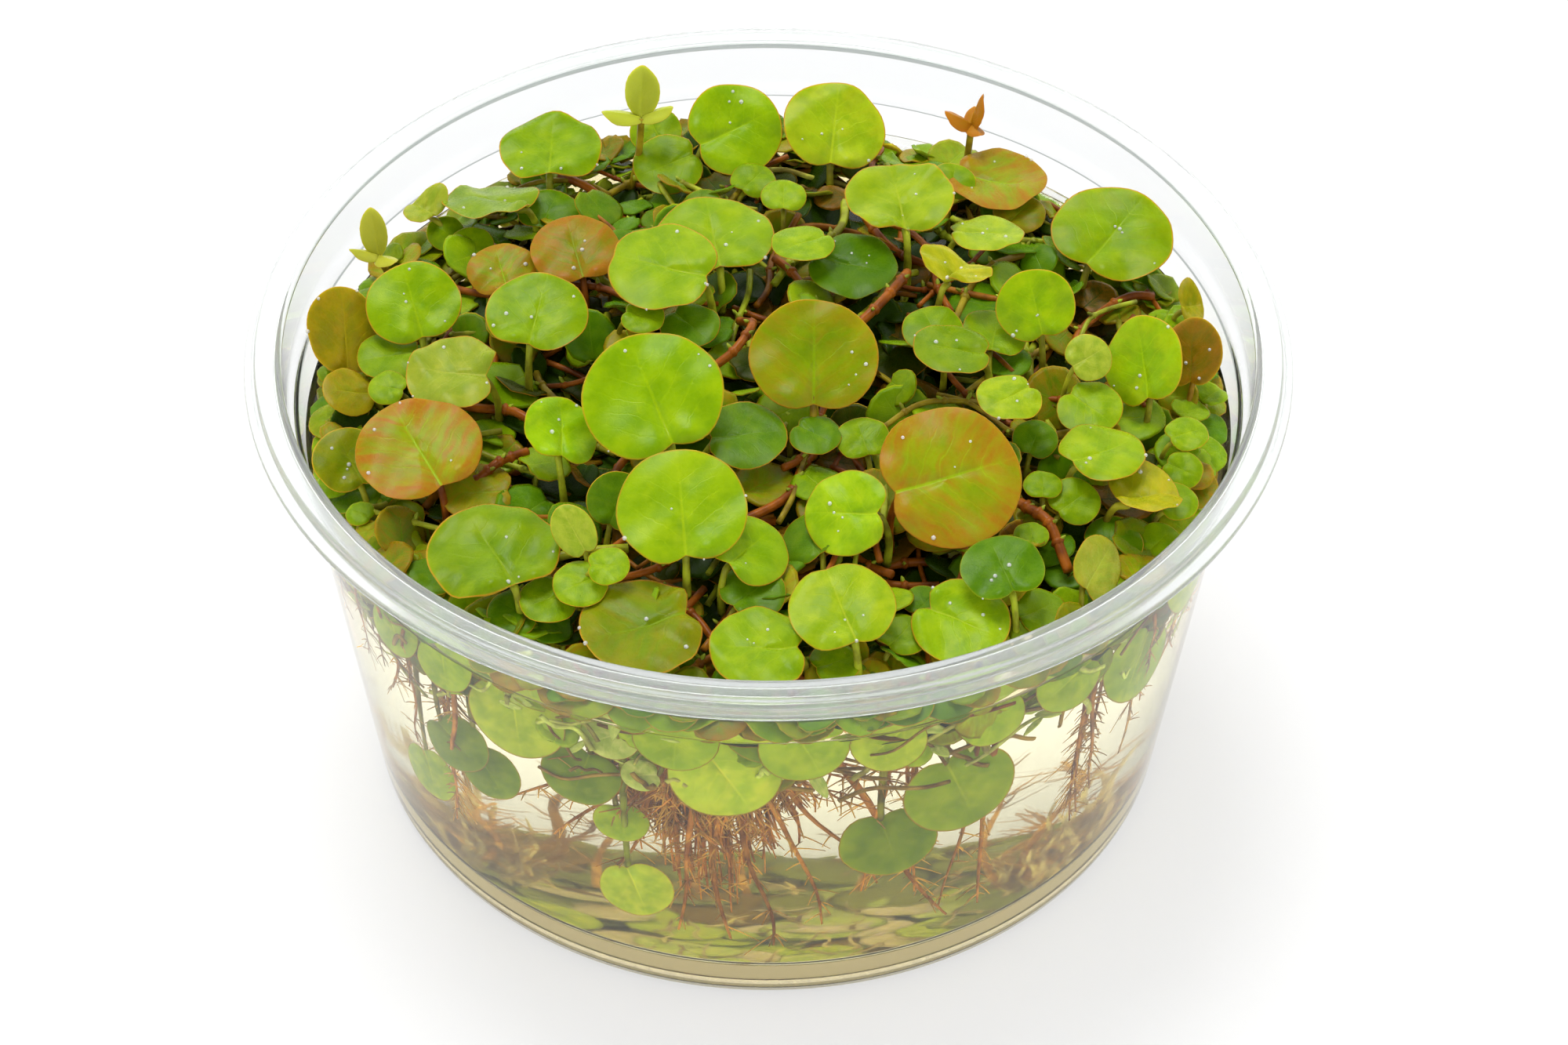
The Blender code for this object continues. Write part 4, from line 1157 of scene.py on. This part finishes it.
def add_fan_root(heap, draw):
    """A root of the fan that spreads in front."""
    spread = math.radians(draw.uniform(-80, 80))
    length = draw.uniform(7.0, 17.0)
    start = np.array([draw.uniform(-11, 1), -35.0, draw.uniform(34.5, 37.5)])
    end = start + np.array([math.sin(spread) * 1.15, -0.2, -math.cos(spread)]) * length
    add_root(heap, draw, start, end, draw.uniform(0.2, 0.32), 1.6, 9)


def add_back_root(heap, draw):
    """A long pale root at the sides or the back."""
    turn = draw.uniform(62, 298)
    start = compass(turn) * draw.uniform(24, 41)
    end = start + compass(draw.uniform(0, 360)) * draw.uniform(1.0, 5.0)
    start[2] = 38.0
    end[2] = draw.uniform(9.0, 26.0)
    add_root(heap, draw, start, end, draw.uniform(0.3, 0.4), 1.5, 18, "root hair")


def make_long_roots(finish):
    """Single roots that spread through the water, in front and on the other sides."""
    draw = random.Random(91)
    heap = Heap()
    for start, end, radius, hairs in LONG_ROOTS:
        add_root(heap, draw, np.array(start), np.array(end), radius, 1.5, hairs)
    for _ in range(FAN_ROOTS):
        add_fan_root(heap, draw)
    for _ in range(BACK_ROOTS):
        add_back_root(heap, draw)
    heap.made("long_roots", finish)


def make_underside(leaf_finish, root_finish):
    """Leaves and short roots that hang from the whole underside of the tangle, in pale tints of painted
    light.
    """
    draw = random.Random(77)
    heap = Heap()
    for number in range(UNDERSIDE_LEAVES):
        reach = 44.0 * math.sqrt(draw.random())
        x, y = (compass(draw.uniform(0, 360)) * reach)[:2]
        z = draw.uniform(42.5, 45.5)
        wide = draw.uniform(4.5, 9.5)
        lean = draw.uniform(160, 180)
        toward = draw.uniform(0, 360)
        stalk = draw.uniform(0, 360)
        # Painted light: the pale and tan tints of these leaves, and of the roots below, stand in for light
        # that reaches the underside from below.
        colour = draw.choice(("wet pale", "wet tan", "wet tan", "wet pale", "wet lime"))
        leaf = Leaf(x, y, z, wide, lean, toward, stalk, colour, flush=0.0)
        add_blade(heap, leaf, 3, 12, 1200.0 + number)
    for _ in range(UNDERSIDE_ROOTS):
        reach = 43.0 * math.sqrt(draw.random())
        start = compass(draw.uniform(0, 360)) * reach
        start[2] = draw.uniform(41.0, 44.0)
        end = start + compass(draw.uniform(0, 360)) * draw.uniform(0.5, 4.0)
        end[2] -= draw.uniform(2.0, 6.0)
        add_root(heap, draw, start, end, draw.uniform(0.18, 0.3), 0.7, 2, "wet tan", 1)
    heap.made("underside", leaf_finish, root_finish)


def make_stems(finish):
    """The bare stems, in place of their solids, with nodes."""
    for number, (name, (way, radius)) in enumerate(STEMS.items()):
        draw = random.Random(500 + number)
        heap = Heap()
        points = [(x, y, tangle_top(x, y) + lift) for x, y, lift in way]
        path = bend(points, 26)
        add_tube(heap, path, radius, TINTS["stem"], 10)
        add_nodes(heap, path, radius, TINTS["stem"], draw)
        piece = heap.made(f"{name}_bare", finish, finish)
        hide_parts(name)


def make_shoots(leaf_finish, stem_finish):
    """The growing tips, in place of their solids: a stalk with pointed blades on top."""
    for number, (name, (foot, top, blades, colour)) in enumerate(SHOOTS.items()):
        heap = Heap()
        low = np.array((*foot, tangle_top(*foot) - 2.0))
        top = np.array(top)
        way = bend([low, (low + top) / 2 + (0.4, 0, 0), top], 12)
        add_tube(heap, way, 0.42, mixed("stalk", "stem", 0.5), 8)
        for direction, rise, length, width in blades:
            lift = math.radians(rise)
            tip = compass(direction) * math.cos(lift) + np.array((0, 0, math.sin(lift)))
            across = compass(direction + 90)
            axes = across, tip, np.cross(across, tip)
            centre = top + tip * (length / 2 - 0.5)
            flush = 1.0 if colour == "red" else 0.15
            leaf = Leaf(*centre, width, 0, 0, 0, colour, 18, length / width, flush)
            add_blade(heap, leaf, 8, 24, 300.0 + number + direction, axes, pointed)
        piece = heap.made(f"{name}_tip", leaf_finish, stem_finish)
        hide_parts(name)


# Stage


def make_stage():
    """A white floor that glows a little, and in a warmer shade under the cup's raised bottom."""
    bpy.ops.mesh.primitive_plane_add(size=6.0)
    floor = bpy.context.object
    floor.name = "floor"
    n = Nodes("floor")
    where = n.add("ShaderNodeNewGeometry").outputs["Position"]
    reach = n.add("ShaderNodeVectorMath", {0: where}, operation="LENGTH").outputs["Value"]
    outside = n.fade(reach, FOOT_INNER_RADIUS * MM, (FOOT_RADIUS - 1) * MM)
    shader = {
        "Base Color": (*FLOOR_COLOUR, 1),
        "Roughness": 0.9,
        "Specular IOR Level": 0.1,
        "Emission Color": n.mix(outside, (*SHADE_COLOUR, 1), (1, 1, 1, 1)),
        "Emission Strength": n.fade(outside, 0.0, 1.0, SHADE_GLOW, FLOOR_GLOW),
    }
    n.feed(n.shader, shader)
    floor.data.materials.append(n.material)


def make_light():
    """A white room that is dimmer overhead, and a large soft lamp high up behind the cup."""
    world = bpy.data.worlds.new("studio")
    bpy.context.scene.world = world
    world.use_nodes = True
    nodes, links = world.node_tree.nodes, world.node_tree.links
    towards = nodes.new("ShaderNodeTexCoord")
    parts = nodes.new("ShaderNodeSeparateXYZ")
    fade = nodes.new("ShaderNodeMapRange")
    fade.interpolation_type = "SMOOTHSTEP"
    levels = {"From Min": 0.68, "From Max": 0.85, "To Min": ROOM_LIGHT, "To Max": CEILING_LIGHT}
    for key, value in levels.items():
        fade.inputs[key].default_value = value
    links.new(towards.outputs["Generated"], parts.inputs[0])
    links.new(parts.outputs["Z"], fade.inputs["Value"])
    links.new(fade.outputs[0], nodes["Background"].inputs["Strength"])
    nodes["Background"].inputs["Color"].default_value = (1, 1, 1, 1)
    light = bpy.data.lights.new("soft lamp", "SUN")
    light.energy = LAMP_LIGHT * math.pi
    light.angle = math.radians(LAMP_SPREAD)
    lamp = bpy.data.objects.new("soft lamp", light)
    rise = math.radians(LAMP_ELEVATION)
    away = Vector(compass(LAMP_COMPASS)) * math.cos(rise) + Vector((0, 0, math.sin(rise)))
    lamp.rotation_euler = away.to_track_quat("Z", "Y").to_euler()
    bpy.context.scene.collection.objects.link(lamp)


def make_camera():
    """The camera, where the photograph was taken from."""
    camera = bpy.data.objects.new("camera", bpy.data.cameras.new("camera"))
    camera.data.lens = CAMERA_LENS
    camera.data.sensor_width = 36.0
    camera.data.clip_start = 0.01
    tilt = Matrix.Rotation(math.radians(90 - CAMERA_ELEVATION), 4, "X")
    roll = Matrix.Rotation(math.radians(CAMERA_ROLL), 4, "Z")
    place = Vector(CAMERA_AIM) * MM + tilt.col[2].to_3d() * CAMERA_DISTANCE * MM
    camera.matrix_world = Matrix.Translation(place) @ tilt @ roll
    bpy.context.scene.collection.objects.link(camera)
    bpy.context.scene.camera = camera


make_camera()
make_light()
make_stage()
leaf_finish = leaf_material()
stem_finish = stem_material("stem", 0.35, 0.14)
root_finish = stem_material("root", 0.6, 0.1)
make_cup()
make_water()
make_large_leaves(leaf_finish, stem_finish)
make_middle_leaves(leaf_finish, stem_finish)
make_tangle(leaf_finish, stem_finish)
make_fringe(leaf_finish, stem_finish)
make_roots(root_finish)
make_long_roots(root_finish)
make_underside(leaf_finish, root_finish)
make_stems(stem_finish)
make_shoots(leaf_finish, stem_finish)
bpy.context.scene.view_settings.view_transform = "Standard"
bpy.context.scene.cycles.blur_glossy = 0.0
bpy.context.scene.cycles.max_bounces = LIGHT_BOUNCES
bpy.context.scene.cycles.transmission_bounces = LIGHT_BOUNCES
